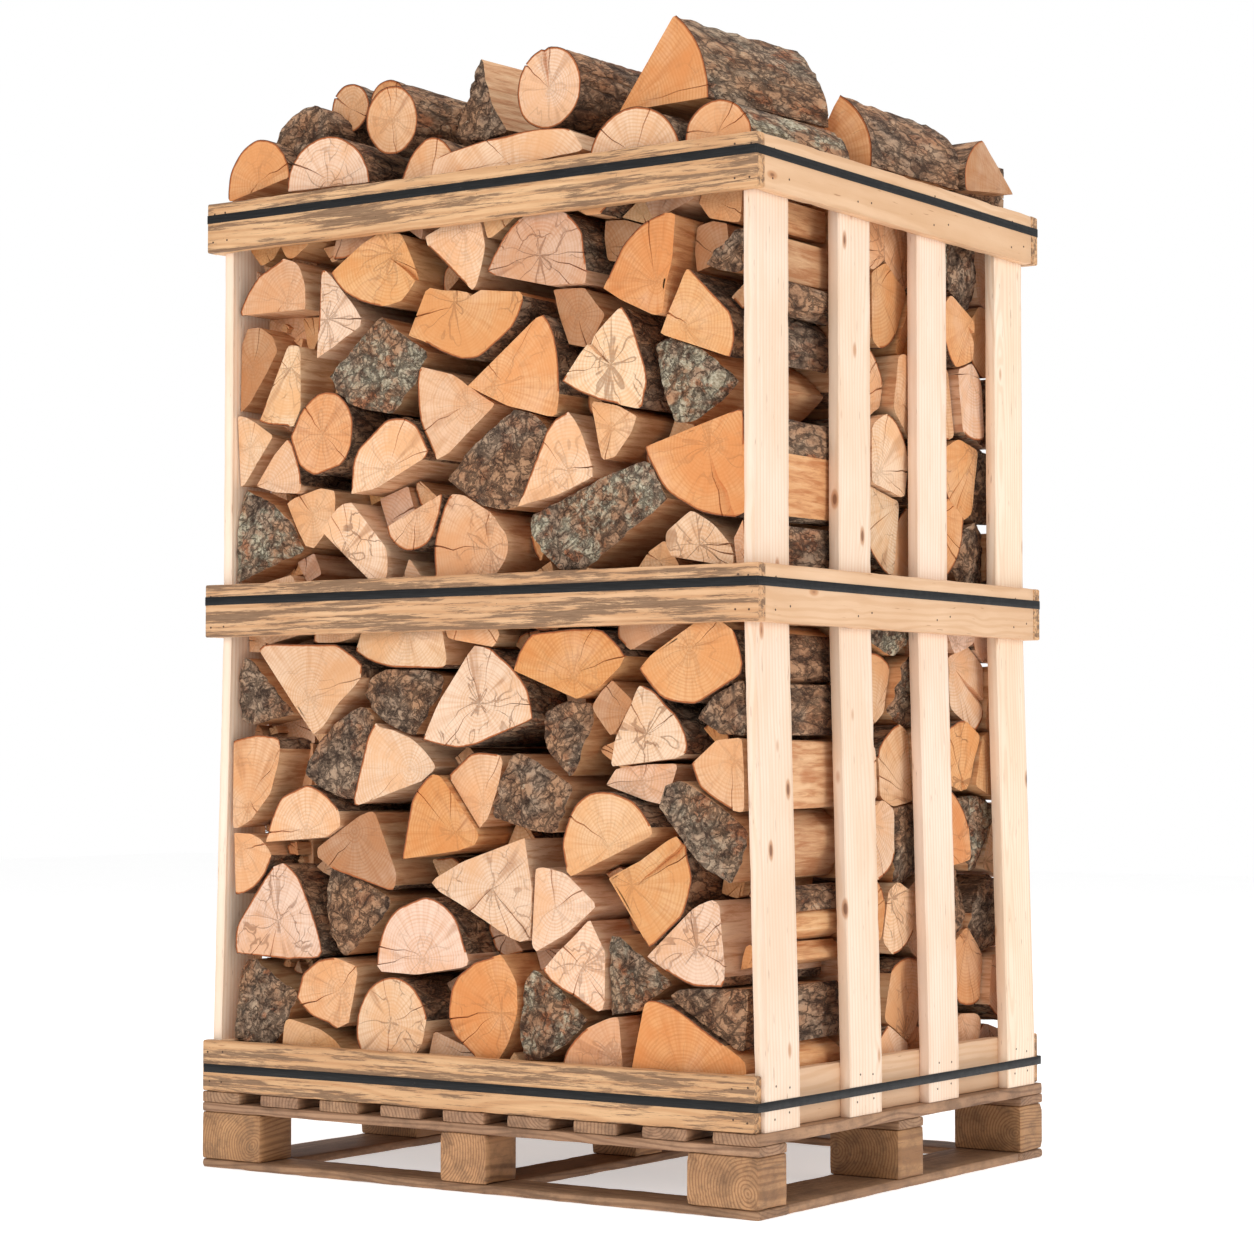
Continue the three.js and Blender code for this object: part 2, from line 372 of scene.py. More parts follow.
def hash_noise(x, y, z, seed):
    """Smooth noise in space, about -1 to 1, from a few crossed waves."""
    rng = np.random.default_rng(seed)
    out = np.zeros_like(x)
    for k in range(7):
        d = rng.normal(size=3)
        d /= np.linalg.norm(d)
        f = rng.uniform(0.6, 1.5)
        out += np.sin((x * d[0] + y * d[1] + z * d[2]) * f * 2 * math.pi + rng.uniform(0, 6.3))
    return out / 2.7


def add_log(pile, ring, bark, pith, tone, seed, front, length, facing=0.0, place=(0, 0, 0),
            bark_front=False, cracks=3, moss=0.0, crack_look=0.5, grain=None, stations=None, limit=None):
    """One split log. Its end ring is in (x, z), its front end is at y = front, and it runs back by length.
    It is then turned by facing degrees about z and moved to place. Nothing of it passes limit."""
    rng = np.random.default_rng(seed)
    middle = ring.mean(0)
    size = math.sqrt(np.prod(np.ptp(ring, axis=0)))
    # the point the end's cracks and rings of faces meet at, kept inside the ring
    hub = pith * 0.75 + middle * 0.25
    dist, _ = signed_gap(hub[None], ring)
    for _ in range(8):
        if dist[0] < -0.07 * size:
            break
        hub = hub * 0.8 + middle * 0.2
        dist, _ = signed_gap(hub[None], ring)
    n = len(ring)
    spoke = ring - hub
    reach = np.linalg.norm(spoke, axis=1)
    # narrow cracks: three neighbouring ring points are drawn together and the middle one is sunk
    sunk = np.zeros(n)
    ring = ring.copy()
    if not bark_front:
        for i in rng.choice(n, cracks, replace=False):
            a, b = (i - 1) % n, (i + 1) % n
            wide = rng.uniform(0.8, 2.2) * MM
            for side in (a, b):
                d = ring[side] - ring[i]
                ring[side] = ring[i] + d * wide / max(np.linalg.norm(d), 1e-6)
            sunk[i] = rng.uniform(5, 12) * MM
    spoke = ring - hub
    tilt = rng.uniform(-0.07, 0.07, 2)
    if stations is None:
        stations = (0, 0.004, 0.012, 0.022, 0.034, 0.048, 0.064, 0.082, 0.104, 0.13, 0.165, 0.21, 0.26)
    ys = np.array([s for s in stations if s < length - 0.02] + [length - 0.008, length])
    rows, logs, mixes, mats = [], [], [], []
    offset = rng.uniform(0, 40)
    tag = rng.uniform(0, 1)

    def push(points, y, rim, face_mats):
        xyz = np.stack([points[:, 0], y, points[:, 1]], 1)
        rows.append(xyz)
        logs.append(np.stack([points[:, 0] - pith[0], points[:, 1] - pith[1], y - front + offset], 1))
        # r rim, g crack look, b moss and red, a seed of this log
        mixes.append(np.stack([rim, np.full(n, crack_look), np.full(n, moss), np.full(n, tag)], 1))
        mats.append(face_mats)

    taper = rng.uniform(0.93, 0.99)
    sway = rng.uniform(-1, 1, 2) * size * 0.02
    side_mat = np.where((bark > 0.5) | (np.roll(bark, -1) > 0.5), BARK, SPLIT)
    fluting = np.clip(wave_ring(n, rng, 30, 0.1, 5), -1, 0.2) * 1.6 * MM

    def shape_at(depth):
        """The ring at a depth behind the front end, shrunk only inward so that logs stay apart."""
        s = 1 - (1 - taper) * depth / length
        pts = middle + (ring - middle) * s + sway * (1 - taper) * depth / length
        out = (pts - middle) / np.maximum(np.linalg.norm(pts - middle, axis=1, keepdims=True), 1e-6)
        plates = hash_noise(pts[:, 0] / 0.02, np.full(n, depth) / 0.045, pts[:, 1] / 0.02, seed)
        deep = np.where(bark > 0.5, np.clip(plates, -1, 0.6) * 2.4 * MM - 1.6 * MM, fluting - 0.6 * MM)
        fade = min(depth / 0.006, 1.0)
        return pts + out * deep[:, None] * fade

    depth0 = front + tilt[0] * (ring[:, 0] - middle[0]) + tilt[1] * (ring[:, 1] - middle[1])
    if grain is None:
        grain = rng.uniform(0, 180)
    if bark_front:
        axis = turned(np.array([[0.0, 1.0]]), grain)[0]

        def bulge(points):
            """How far the rounded bark front stands back from its crown."""
            across = ((points - middle) @ axis) / (0.5 * size)
            h = hash_noise(points[:, 0] / 0.028, points[:, 1] / 0.028, np.full(len(points), offset), seed + 5)
            f = hash_noise(points[:, 0] / 0.012, points[:, 1] / 0.012, np.full(len(points), offset), seed + 6)
            return 0.10 * size * np.clip(across, -1.4, 1.4) ** 2 + 3.0 * MM * h + 1.3 * MM * f

        cap_mat, cap_rings = BARK, (0.1, 0.2, 0.3, 0.4, 0.5, 0.6, 0.7, 0.8, 0.9, 0.96)
    else:
        cap_mat, cap_rings = END, CAP_RINGS
    swirl = rng.uniform(-7, 7, 3)
    for t in cap_rings + (None,):
        if t is None:
            inner = hub + spoke * (1 - RIM / np.maximum(reach, 4 * RIM))[:, None]
            share = 1.0
        else:
            bend = swirl[0] * math.sin(t * 3.1) + swirl[1] * math.sin(t * 6.3)
            bend += swirl[2] * 0.6 * math.sin(t * 12.6)
            inner = hub + turned(spoke * t, bend * (1 - t))
            share = t
        base = front + tilt[0] * (inner[:, 0] - middle[0]) + tilt[1] * (inner[:, 1] - middle[1])
        if bark_front:
            y = base + bulge(inner)
        else:
            y = base + sunk * min(share * 1.5, 1.0)
            y = y + hash_noise(inner[:, 0] / 0.05, inner[:, 1] / 0.05, np.zeros(n), seed + 3) * 0.8 * MM
        push(inner, y, np.zeros(n), np.full(n, cap_mat))
    edge_y = depth0 + (bulge(ring) + 2 * MM if bark_front else sunk)
    push(ring, edge_y, bark.copy() if not bark_front else np.zeros(n), side_mat)
    for d in ys[1:]:
        pts = shape_at(d)
        blend = max(0.0, 1 - d / 0.05)
        y = front + d + (edge_y - front) * blend
        push(pts, y, np.clip(bark * (1 - d / 0.003), 0, 1), side_mat)
    last = rows[-1][:, [0, 2]]
    mats[-1] = np.full(n, END)
    y_back = np.full(n, front + length)
    push(middle + (last - middle) * 0.55, y_back, np.zeros(n), np.full(n, END))
    mats.pop()
    rings = np.array(rows)
    hub_y = front + tilt @ (hub - middle)
    if bark_front:
        hub_y += bulge(hub[None])[0]
    pole0 = np.array([hub[0], hub_y, hub[1]])
    pole1 = np.array([middle[0], front + length, middle[1]])
    log0 = np.array([hub[0] - pith[0], hub[1] - pith[1], offset])
    log1 = np.array([middle[0] - pith[0], middle[1] - pith[1], length + offset])
    mix_pole = np.array([0, crack_look, moss, tag])
    everything = [rings.reshape(-1, 3), pole0[None], pole1[None]]
    xyz = np.concatenate(everything)
    if facing:
        a = math.radians(facing)
        c, s = math.cos(a), math.sin(a)
        xyz = xyz @ np.array([[c, s, 0], [-s, c, 0], [0, 0, 1]])
    xyz = xyz + np.array(place)
    if limit is not None:
        xyz = np.clip(xyz, limit[0], limit[1])
    k = len(rings)
    pile.loft(xyz[:-2].reshape(k, n, 3), xyz[-2], xyz[-1], np.array(logs), log0, log1, tone,
              np.array(mixes), mix_pole, mix_pole, np.array(mats), cap_mat, END)


# --------------------------------------------------- the front row of logs
# The logs of the front row, read off the photo and rounded to 5 mm. Each has its tone, how far its
# end is set back (mm), a look from 0 to 1, and the corners of its end (x, z in mm, counter-clockwise).
# A corner's third value marks the edge that follows as bark, and is how far it bulges for its length.
# The look is how cracked the end is. The tone "bark" is a piece that turns its bark to the front: its look
# is how mossy it is, and it may give the direction of its grain in degrees.

FRONT_LOGS = [
    ("tan", 5, 0.3, [
        (-550, 1560), (-385, 1555), (-390, 1605), (-405, 1640), (-440, 1660, 0.13)]),
    ("gold", 0, 0.5, [
        (-320, 1620, 0.02), (-295, 1590, 0.02), (-250, 1565, 0.02), (-210, 1555), (-170, 1560),
        (-140, 1590), (-140, 1615), (-155, 1645), (-170, 1675), (-215, 1680), (-260, 1660)]),
    ("pale", 10, 0.3, [
        (-120, 1690), (-105, 1650, 0.01), (-75, 1620, 0.01), (-45, 1590, 0.01), (-15, 1565), (0, 1570),
        (10, 1600), (20, 1640), (10, 1695)]),
    ("grey", 0, 1.0, [
        (20, 1570), (245, 1555), (245, 1590, 0.03), (240, 1620, 0.03), (220, 1650, 0.03), (195, 1675),
        (150, 1690), (95, 1675, 0.03), (60, 1640, 0.03), (30, 1595, 0.02)]),
    ("orange", 0, 0.25, [
        (265, 1550), (315, 1520), (350, 1500), (380, 1490), (395, 1490), (400, 1540), (415, 1590),
        (430, 1650), (400, 1655, 0.04), (365, 1645, 0.04), (325, 1620, 0.04), (290, 1585, 0.03)]),
    ("bark", 15, 0.3, [
        (480, 1570), (505, 1560), (550, 1550), (550, 1625), (515, 1605)]),
    ("gold", 45, 0.2, [
        (470, 1680), (500, 1645), (550, 1640), (550, 1695), (470, 1695)]),
    ("tan", 60, 0.2, [
        (305, 1675), (350, 1655), (395, 1655), (400, 1675), (350, 1695)]),
    ("pink", 5, 0.7, [
        (-390, 1460), (-350, 1480), (-300, 1505), (-255, 1525), (-275, 1555), (-300, 1580), (-320, 1605),
        (-345, 1630, 0.02), (-365, 1590, 0.02), (-385, 1550, 0.02), (-395, 1505, 0.02)]),
    ("bark", 0, 0.75, [
        (-330, 1435), (-290, 1390), (-215, 1355), (-200, 1360), (-150, 1415), (-115, 1465), (-165, 1500),
        (-215, 1535), (-255, 1500)], 40),
    ("gold", 0, 0.6, [
        (-145, 1495), (-100, 1480, 0.02), (-60, 1460, 0.02), (-25, 1445, 0.02), (5, 1445, 0.03),
        (45, 1470, 0.03), (80, 1495, 0.03), (95, 1530, 0.02), (100, 1550), (45, 1555), (0, 1560),
        (-10, 1545), (-20, 1560), (-70, 1565), (-105, 1575), (-125, 1540)]),
    ("brown", 20, 0.3, [
        (200, 1460), (240, 1450), (260, 1480), (275, 1500), (255, 1520), (235, 1545), (170, 1550),
        (180, 1515), (190, 1490)]),
    ("gold", 5, 0.3, [
        (390, 1455), (435, 1440), (475, 1425), (525, 1405, 0.03), (535, 1440, 0.04), (530, 1470, 0.04),
        (515, 1500, 0.04), (480, 1535, 0.03), (445, 1560), (425, 1520), (405, 1485)]),
    ("pink", 0, 0.9, [
        (195, 1390, 0.01), (230, 1370, 0.01), (265, 1355, 0.01), (305, 1345), (345, 1335, 0.02),
        (355, 1375, 0.02), (350, 1405, 0.02), (345, 1440, 0.02), (330, 1475, 0.02), (310, 1505),
        (275, 1475), (230, 1430)]),
    ("bark", 20, 0.9, [
        (370, 1445), (385, 1405), (405, 1350), (420, 1310), (450, 1310), (495, 1340), (530, 1370),
        (495, 1405), (445, 1440), (400, 1450)]),
    ("gold", 0, 0.4, [
        (-20, 1400), (25, 1380), (70, 1360), (120, 1345), (170, 1330), (175, 1370, 0.02),
        (175, 1410, 0.02), (170, 1450, 0.02), (160, 1485, 0.02), (140, 1510), (110, 1490), (75, 1470),
        (25, 1445)]),
    ("brown", 15, 0.2, [
        (-555, 1390), (-540, 1390), (-520, 1405), (-500, 1435), (-485, 1455), (-460, 1490), (-470, 1515),
        (-500, 1535), (-530, 1535), (-545, 1500), (-555, 1445)]),
    ("pale", 0, 0.6, [
        (-520, 1390, 0.02), (-500, 1370, 0.02), (-460, 1355, 0.02), (-415, 1345), (-400, 1380),
        (-395, 1420), (-395, 1455), (-400, 1490), (-430, 1495), (-450, 1475), (-475, 1450), (-490, 1430),
        (-510, 1415)]),
    ("gold", 0, 0.4, [
        (-415, 1330, 0.06), (-400, 1285, 0.06), (-365, 1260, 0.06), (-330, 1260, 0.06), (-295, 1285, 0.06),
        (-280, 1335, 0.06), (-290, 1375, 0.06), (-320, 1400, 0.06), (-360, 1400, 0.06), (-395, 1370, 0.06)]),
    ("pale", 0, 0.4, [
        (-280, 1220), (-210, 1230), (-165, 1245), (-100, 1265, 0.03), (-110, 1300, 0.04),
        (-130, 1325, 0.04), (-160, 1345, 0.04), (-195, 1345, 0.04), (-230, 1325, 0.04), (-255, 1300, 0.03),
        (-270, 1270, 0.02), (-275, 1240, 0.01)]),
    ("tan", 10, 0.3, [
        (-85, 1275), (-60, 1285), (-10, 1325), (40, 1360), (5, 1380), (-50, 1415), (-120, 1435, 0.02),
        (-125, 1395, 0.02), (-120, 1345, 0.02), (-105, 1305, 0.02)]),
    ("bark", 0, 0.2, [
        (-65, 1235), (-30, 1215), (10, 1190), (55, 1180), (100, 1180), (125, 1215), (135, 1260),
        (145, 1310), (120, 1335), (85, 1345), (25, 1310), (-25, 1275)], 60),
    ("pale", 5, 0.5, [
        (95, 1180), (180, 1200), (250, 1225), (235, 1265), (220, 1300), (190, 1345, 0.01),
        (165, 1315, 0.02), (140, 1285, 0.02), (120, 1250, 0.02), (105, 1220, 0.02)]),
    ("tan", 15, 0.4, [
        (270, 1255), (300, 1260), (325, 1290), (340, 1320), (300, 1340), (250, 1350), (260, 1310),
        (265, 1280)]),
    ("orange", 0, 0.4, [
        (365, 1270, 0.03), (380, 1230, 0.03), (400, 1200, 0.03), (435, 1175, 0.03), (475, 1155, 0.03),
        (515, 1145, 0.03), (550, 1145), (550, 1260, 0.02), (550, 1330), (525, 1335), (470, 1315),
        (425, 1295)]),
    ("pale", 10, 0.3, [
        (-555, 1250), (-540, 1250), (-500, 1290), (-455, 1330), (-490, 1350), (-530, 1370), (-555, 1375)]),
    ("pale", 0, 0.25, [
        (-505, 1245), (-455, 1230), (-400, 1225), (-400, 1245, 0.02), (-405, 1270, 0.02),
        (-415, 1305, 0.02), (-430, 1325), (-480, 1275)]),
    ("bark", 5, 1.0, [
        (-550, 1070), (-510, 1075), (-455, 1110), (-410, 1120), (-430, 1175), (-465, 1205), (-520, 1240),
        (-550, 1245)], 50),
    ("tan", 15, 0.3, [
        (-390, 1135), (-370, 1130), (-350, 1150), (-320, 1185), (-315, 1225), (-350, 1230), (-390, 1225),
        (-430, 1210), (-410, 1170)]),
    ("pink", 0, 1.0, [
        (-410, 1060), (-200, 1060), (-200, 1100), (-210, 1140), (-235, 1150), (-250, 1180), (-270, 1200),
        (-300, 1200), (-320, 1180), (-335, 1160), (-355, 1135), (-385, 1100)]),
    ("tan", 5, 0.4, [
        (-195, 1160, 0.03), (-190, 1140, 0.03), (-175, 1125, 0.03), (-150, 1115, 0.03), (-110, 1125, 0.03),
        (-90, 1150, 0.03), (-75, 1190, 0.03), (-70, 1220, 0.03), (-80, 1245), (-125, 1205), (-165, 1175)]),
    ("tan", 5, 0.6, [
        (-90, 1060), (40, 1060), (70, 1095), (75, 1130), (50, 1150), (40, 1170), (-20, 1200),
        (-50, 1205, 0.02), (-75, 1165, 0.02), (-90, 1120, 0.02)]),
    ("bark", 0, 0.95, [
        (105, 1160), (125, 1115), (150, 1070), (255, 1065), (345, 1090), (400, 1115), (420, 1130),
        (395, 1190), (370, 1245), (290, 1225), (200, 1190)], 22),
    ("tan", 20, 0.4, [
        (345, 1060), (430, 1060), (405, 1100), (390, 1110), (370, 1090)]),
    ("pale", 10, 0.8, [
        (430, 1060), (535, 1060), (530, 1090), (490, 1130), (450, 1155), (405, 1125), (410, 1090)]),
    ("tan", 15, 0.3, [
        (540, 1060), (555, 1060, 0.02), (555, 1135), (540, 1105)]),
    ("gold", 40, 0.2, [
        (-530, 1690), (-500, 1660), (-460, 1670), (-440, 1690)]),
    ("tan", 60, 0.2, [
        (-350, 1680), (-330, 1655), (-295, 1655), (-290, 1680)]),
    ("pale", 0, 0.3, [
        (-365, 790), (-340, 805), (-310, 845), (-280, 870), (-255, 890), (-255, 910, 0.02),
        (-295, 935, 0.03), (-340, 955, 0.03), (-390, 965, 0.03), (-450, 960, 0.03), (-500, 940),
        (-470, 910), (-440, 880), (-410, 845), (-380, 805)]),
    ("bark", 10, 0.0, [
        (-555, 810), (-490, 810), (-410, 825), (-450, 865), (-500, 910), (-530, 930), (-550, 880)], 120),
    ("pale", 10, 0.3, [
        (-275, 940, 0.02), (-230, 920, 0.02), (-180, 910, 0.02), (-130, 905, 0.02), (-60, 905), (-55, 945),
        (-65, 985), (-260, 985)]),
    ("bark", 10, 0.0, [
        (-260, 860), (-230, 835), (-195, 810), (-155, 790), (-140, 785), (-120, 825), (-95, 860),
        (-90, 890), (-130, 900), (-195, 900), (-240, 890)], 80),
    ("pink", 0, 1.0, [
        (-105, 780, 0.01), (-30, 765, 0.01), (20, 775, 0.01), (85, 795, 0.01), (130, 815, 0.03),
        (120, 830, 0.03), (110, 860, 0.03), (90, 885, 0.03), (50, 915, 0.02), (15, 945), (0, 945),
        (-25, 910), (-45, 880), (-75, 840), (-95, 800)]),
    ("orange", 0, 0.35, [
        (90, 895), (130, 880), (170, 860), (195, 850), (205, 845), (255, 865), (285, 880), (320, 915),
        (325, 925, 0.03), (290, 955, 0.04), (245, 970, 0.04), (175, 970, 0.04), (130, 955, 0.04),
        (105, 930, 0.03)]),
    ("gold", 0, 0.3, [
        (355, 895, 0.03), (370, 875, 0.03), (395, 850, 0.03), (430, 840, 0.03), (465, 840, 0.03),
        (505, 860, 0.03), (540, 880, 0.02), (545, 905, 0.02), (530, 950), (505, 975), (430, 960),
        (400, 935), (370, 910)]),
    ("bark", 10, 0.1, [
        (455, 810), (500, 790), (550, 785, 0.02), (550, 870), (525, 865), (475, 830)]),
    ("pink", 5, 0.9, [
        (290, 730), (350, 740), (410, 745), (440, 755, 0.03), (435, 785, 0.03), (420, 810, 0.03),
        (395, 830, 0.03), (370, 855, 0.02), (345, 865), (330, 830), (315, 800), (300, 770)]),
    ("bark", 10, 0.25, [
        (135, 815), (150, 770), (175, 745), (195, 725), (220, 710), (230, 760), (240, 800), (245, 840),
        (200, 840)], 90),
    ("tan", 0, 0.4, [
        (-555, 620), (-545, 620), (-515, 635), (-480, 660), (-465, 695), (-450, 740), (-445, 775, 0.02),
        (-460, 785, 0.02), (-500, 785, 0.02), (-540, 780, 0.02), (-555, 775)]),
    ("bark", 5, 0.2, [
        (-395, 725), (-360, 700), (-320, 685), (-290, 675), (-265, 680), (-255, 725), (-245, 755),
        (-230, 805), (-240, 830), (-260, 835), (-310, 810), (-350, 780), (-380, 750)], 60),
    ("pink", 0, 0.15, [
        (-260, 655), (-195, 680), (-140, 695), (-90, 730), (-120, 760), (-160, 790), (-210, 795),
        (-215, 810, 0.01), (-235, 775, 0.02), (-245, 745, 0.02), (-255, 710, 0.02), (-265, 680, 0.02)]),
    ("tan", 10, 0.2, [
        (-60, 710), (-40, 685), (-15, 660), (10, 625), (30, 645), (50, 700), (60, 745), (40, 750, 0.02),
        (0, 750, 0.03), (-20, 745, 0.03)]),
    ("bark", 0, 0.1, [
        (35, 645), (165, 615), (170, 620), (200, 690), (195, 700), (95, 750), (80, 750), (60, 705)], 155),
    ("pale", 20, 0.4, [
        (265, 710), (300, 695), (350, 680), (390, 670), (400, 670), (410, 700), (425, 735), (335, 730),
        (275, 720)]),
    ("tan", 5, 0.3, [
        (455, 740, 0.02), (465, 710, 0.02), (480, 690, 0.02), (500, 680, 0.02), (535, 660), (550, 660),
        (550, 775), (500, 770), (470, 755)]),
    ("pale", 0, 0.3, [
        (-475, 595), (-400, 590), (-350, 600), (-300, 620), (-305, 650, 0.04), (-330, 675, 0.04),
        (-360, 690, 0.04), (-395, 695, 0.04), (-430, 680, 0.04), (-455, 645, 0.03)]),
    ("bark", 0, 0.5, [
        (390, 665), (420, 620), (465, 570), (510, 535), (525, 545), (550, 600), (550, 625), (500, 665),
        (460, 695), (430, 705), (400, 695)], 135),
    ("brown", 5, 0.3, [
        (-365, 575), (-310, 545, 0.01), (-255, 530, 0.01), (-205, 515, 0.01), (-180, 515), (-175, 540),
        (-185, 580), (-205, 620), (-225, 650), (-280, 630), (-310, 610)]),
    ("orange", 0, 0.35, [
        (-165, 560), (-100, 575), (-45, 585), (10, 600), (10, 620), (0, 630), (-35, 675), (-60, 710),
        (-90, 715, 0.02), (-120, 690, 0.03), (-140, 660, 0.03), (-150, 620, 0.03), (-160, 585, 0.02)]),
    ("tan", 0, 0.3, [
        (200, 550), (215, 545), (290, 580), (370, 610), (370, 630, 0.03), (355, 650, 0.04),
        (325, 675, 0.04), (280, 685, 0.04), (245, 680, 0.04), (220, 665, 0.04), (200, 630, 0.04),
        (190, 595, 0.03)]),
    ("pink", 0, 0.7, [
        (-95, 530), (-80, 515), (-30, 495), (25, 470), (60, 450), (100, 430), (120, 430), (125, 485),
        (125, 550), (110, 610), (50, 590), (-20, 565)]),
    ("gold", 0, 0.4, [
        (275, 535), (290, 520), (315, 500), (330, 470), (345, 435), (360, 430, 0.03), (395, 450, 0.03),
        (425, 480, 0.04), (440, 515, 0.04), (445, 550, 0.04), (435, 585, 0.03), (420, 615), (400, 605),
        (350, 570)]),
    ("pink", 0, 0.35, [
        (130, 415), (195, 450), (255, 495), (245, 510), (195, 545), (150, 555), (130, 555)]),
    ("tan", 5, 0.3, [
        (-555, 500, 0.01), (-540, 500, 0.03), (-505, 515, 0.03), (-480, 540, 0.03), (-465, 570),
        (-490, 595), (-530, 610), (-555, 615)]),
    ("pink", 0, 0.85, [
        (-555, 390, 0.01), (-440, 385, 0.01), (-340, 390, 0.02), (-345, 415, 0.02), (-360, 450, 0.02),
        (-375, 485, 0.02), (-400, 530, 0.02), (-425, 565), (-460, 545, 0.01), (-490, 510, 0.02),
        (-520, 475, 0.02), (-545, 440, 0.02)]),
    ("bark", 10, 0.0, [
        (-350, 550), (-340, 490), (-320, 425), (-295, 390), (-285, 390), (-235, 440), (-185, 495),
        (-255, 525)], 45),
    ("pink", 0, 0.4, [
        (-225, 370), (-120, 370), (-10, 380), (-10, 400, 0.03), (-20, 430, 0.04), (-40, 465, 0.04),
        (-75, 490, 0.04), (-115, 500, 0.04), (-155, 485, 0.04), (-190, 460, 0.04), (-210, 420, 0.03)]),
    ("pink", 5, 0.8, [
        (370, 415), (405, 395, 0.01), (445, 375, 0.01), (485, 365, 0.01), (530, 375), (515, 400),
        (505, 445), (510, 495), (490, 515), (450, 490), (405, 450)]),
    ("bark", 5, 0.45, [
        (-555, 225), (-465, 225), (-440, 260), (-425, 295), (-415, 320), (-465, 350), (-495, 375),
        (-535, 375), (-550, 330)], 70),
    ("tan", 5, 0.35, [
        (-405, 325, 0.02), (-390, 305, 0.02), (-360, 285, 0.02), (-325, 275, 0.02), (-310, 265),
        (-285, 270), (-280, 295), (-270, 335), (-260, 375), (-310, 385, 0.02), (-345, 380, 0.02),
        (-385, 355, 0.02)]),
    ("gold", 10, 0.3, [
        (-430, 200), (-270, 200), (-310, 235), (-350, 255), (-425, 275)]),
    ("pale", 0, 0.85, [
        (-245, 215), (-140, 215), (-110, 250), (-100, 285, 0.04), (-110, 310, 0.04), (-135, 340, 0.04),
        (-165, 355, 0.04), (-200, 355, 0.04), (-235, 335, 0.04), (-250, 310, 0.04), (-260, 285, 0.03),
        (-260, 250, 0.02)]),
    ("orange", 0, 0.45, [
        (5, 230), (45, 225), (70, 260), (90, 310), (90, 365), (60, 405), (45, 405, 0.03), (10, 395, 0.04),
        (-20, 375, 0.04), (-45, 340, 0.04), (-50, 310, 0.04), (-50, 285, 0.04), (-30, 255, 0.03)]),
    ("bark", 5, 0.8, [
        (100, 230), (140, 235), (195, 265), (225, 300), (195, 330), (150, 370), (130, 380), (115, 365),
        (105, 320), (95, 270)], 110),
    ("pink", 5, 0.7, [
        (155, 385, 0.01), (175, 365, 0.01), (215, 345, 0.01), (260, 320), (275, 330), (280, 370),
        (275, 420), (265, 450), (250, 475), (215, 440), (185, 415)]),
    ("bark", 10, 0.6, [
        (280, 315), (335, 325), (395, 360), (400, 370), (350, 410), (305, 445), (290, 445), (280, 405)], 100),
    ("bark", 10, 0.15, [
        (415, 350), (430, 335), (460, 315), (500, 290), (535, 270), (550, 270, 0.02), (550, 365),
        (475, 365), (430, 360)], 160),
    ("tan", 5, 0.5, [
        (185, 205), (315, 200), (310, 270), (305, 310), (285, 305), (240, 285, 0.02), (205, 250, 0.02)]),
    ("orange", 0, 0.25, [
        (335, 210), (550, 205), (550, 255), (510, 275, 0.03), (475, 300, 0.03), (425, 325, 0.03),
        (365, 345), (350, 290)]),
    ("tan", 40, 0.2, [
        (-530, 975), (-525, 945), (-495, 945), (-480, 975)]),
]

# a column of logs deeper in the stack: its left and right end, and each log's height
DEEP_X = (-548 * MM, -440 * MM)
DEEP_HEIGHT = 78 * MM
DEEP_BACK = 90 * MM
STACK_X = 555 * MM  # half the width of the stack
FACE_Y = -470 * MM  # where the front ends of the front row are
ROW = 320 * MM  # how deep one row of logs is
SIDE_STEP = 0.69  # a log set back moves sideways by this much to stay in line with the camera
STACK_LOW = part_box("stack_lower")[0].z
STACK_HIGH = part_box("stack_upper")[1].z
GAP = 3 * MM  # the least gap between two logs
GROW = 4 * MM  # a front log is drawn this much fuller before it is trimmed against its neighbours
SMALL_GAP, LARGE_GAP = 12 * MM, 62 * MM  # the gaps that a splinter or a log fills
LEFT_EDGE = -445 * MM  # left of this, smaller gaps are filled as well
HIDDEN_TOP = STACK_HIGH + 40 * MM  # logs go up behind the top collar


class Set:
    """Logs that share one facing: their rings are kept apart, then lofted."""

    def __init__(self):
        self.rings, self.info = [], []

    def add(self, ring, bark, pith, **info):
        self.rings.append(ring)
        self.info.append(dict(bark=bark, pith=pith, **info))


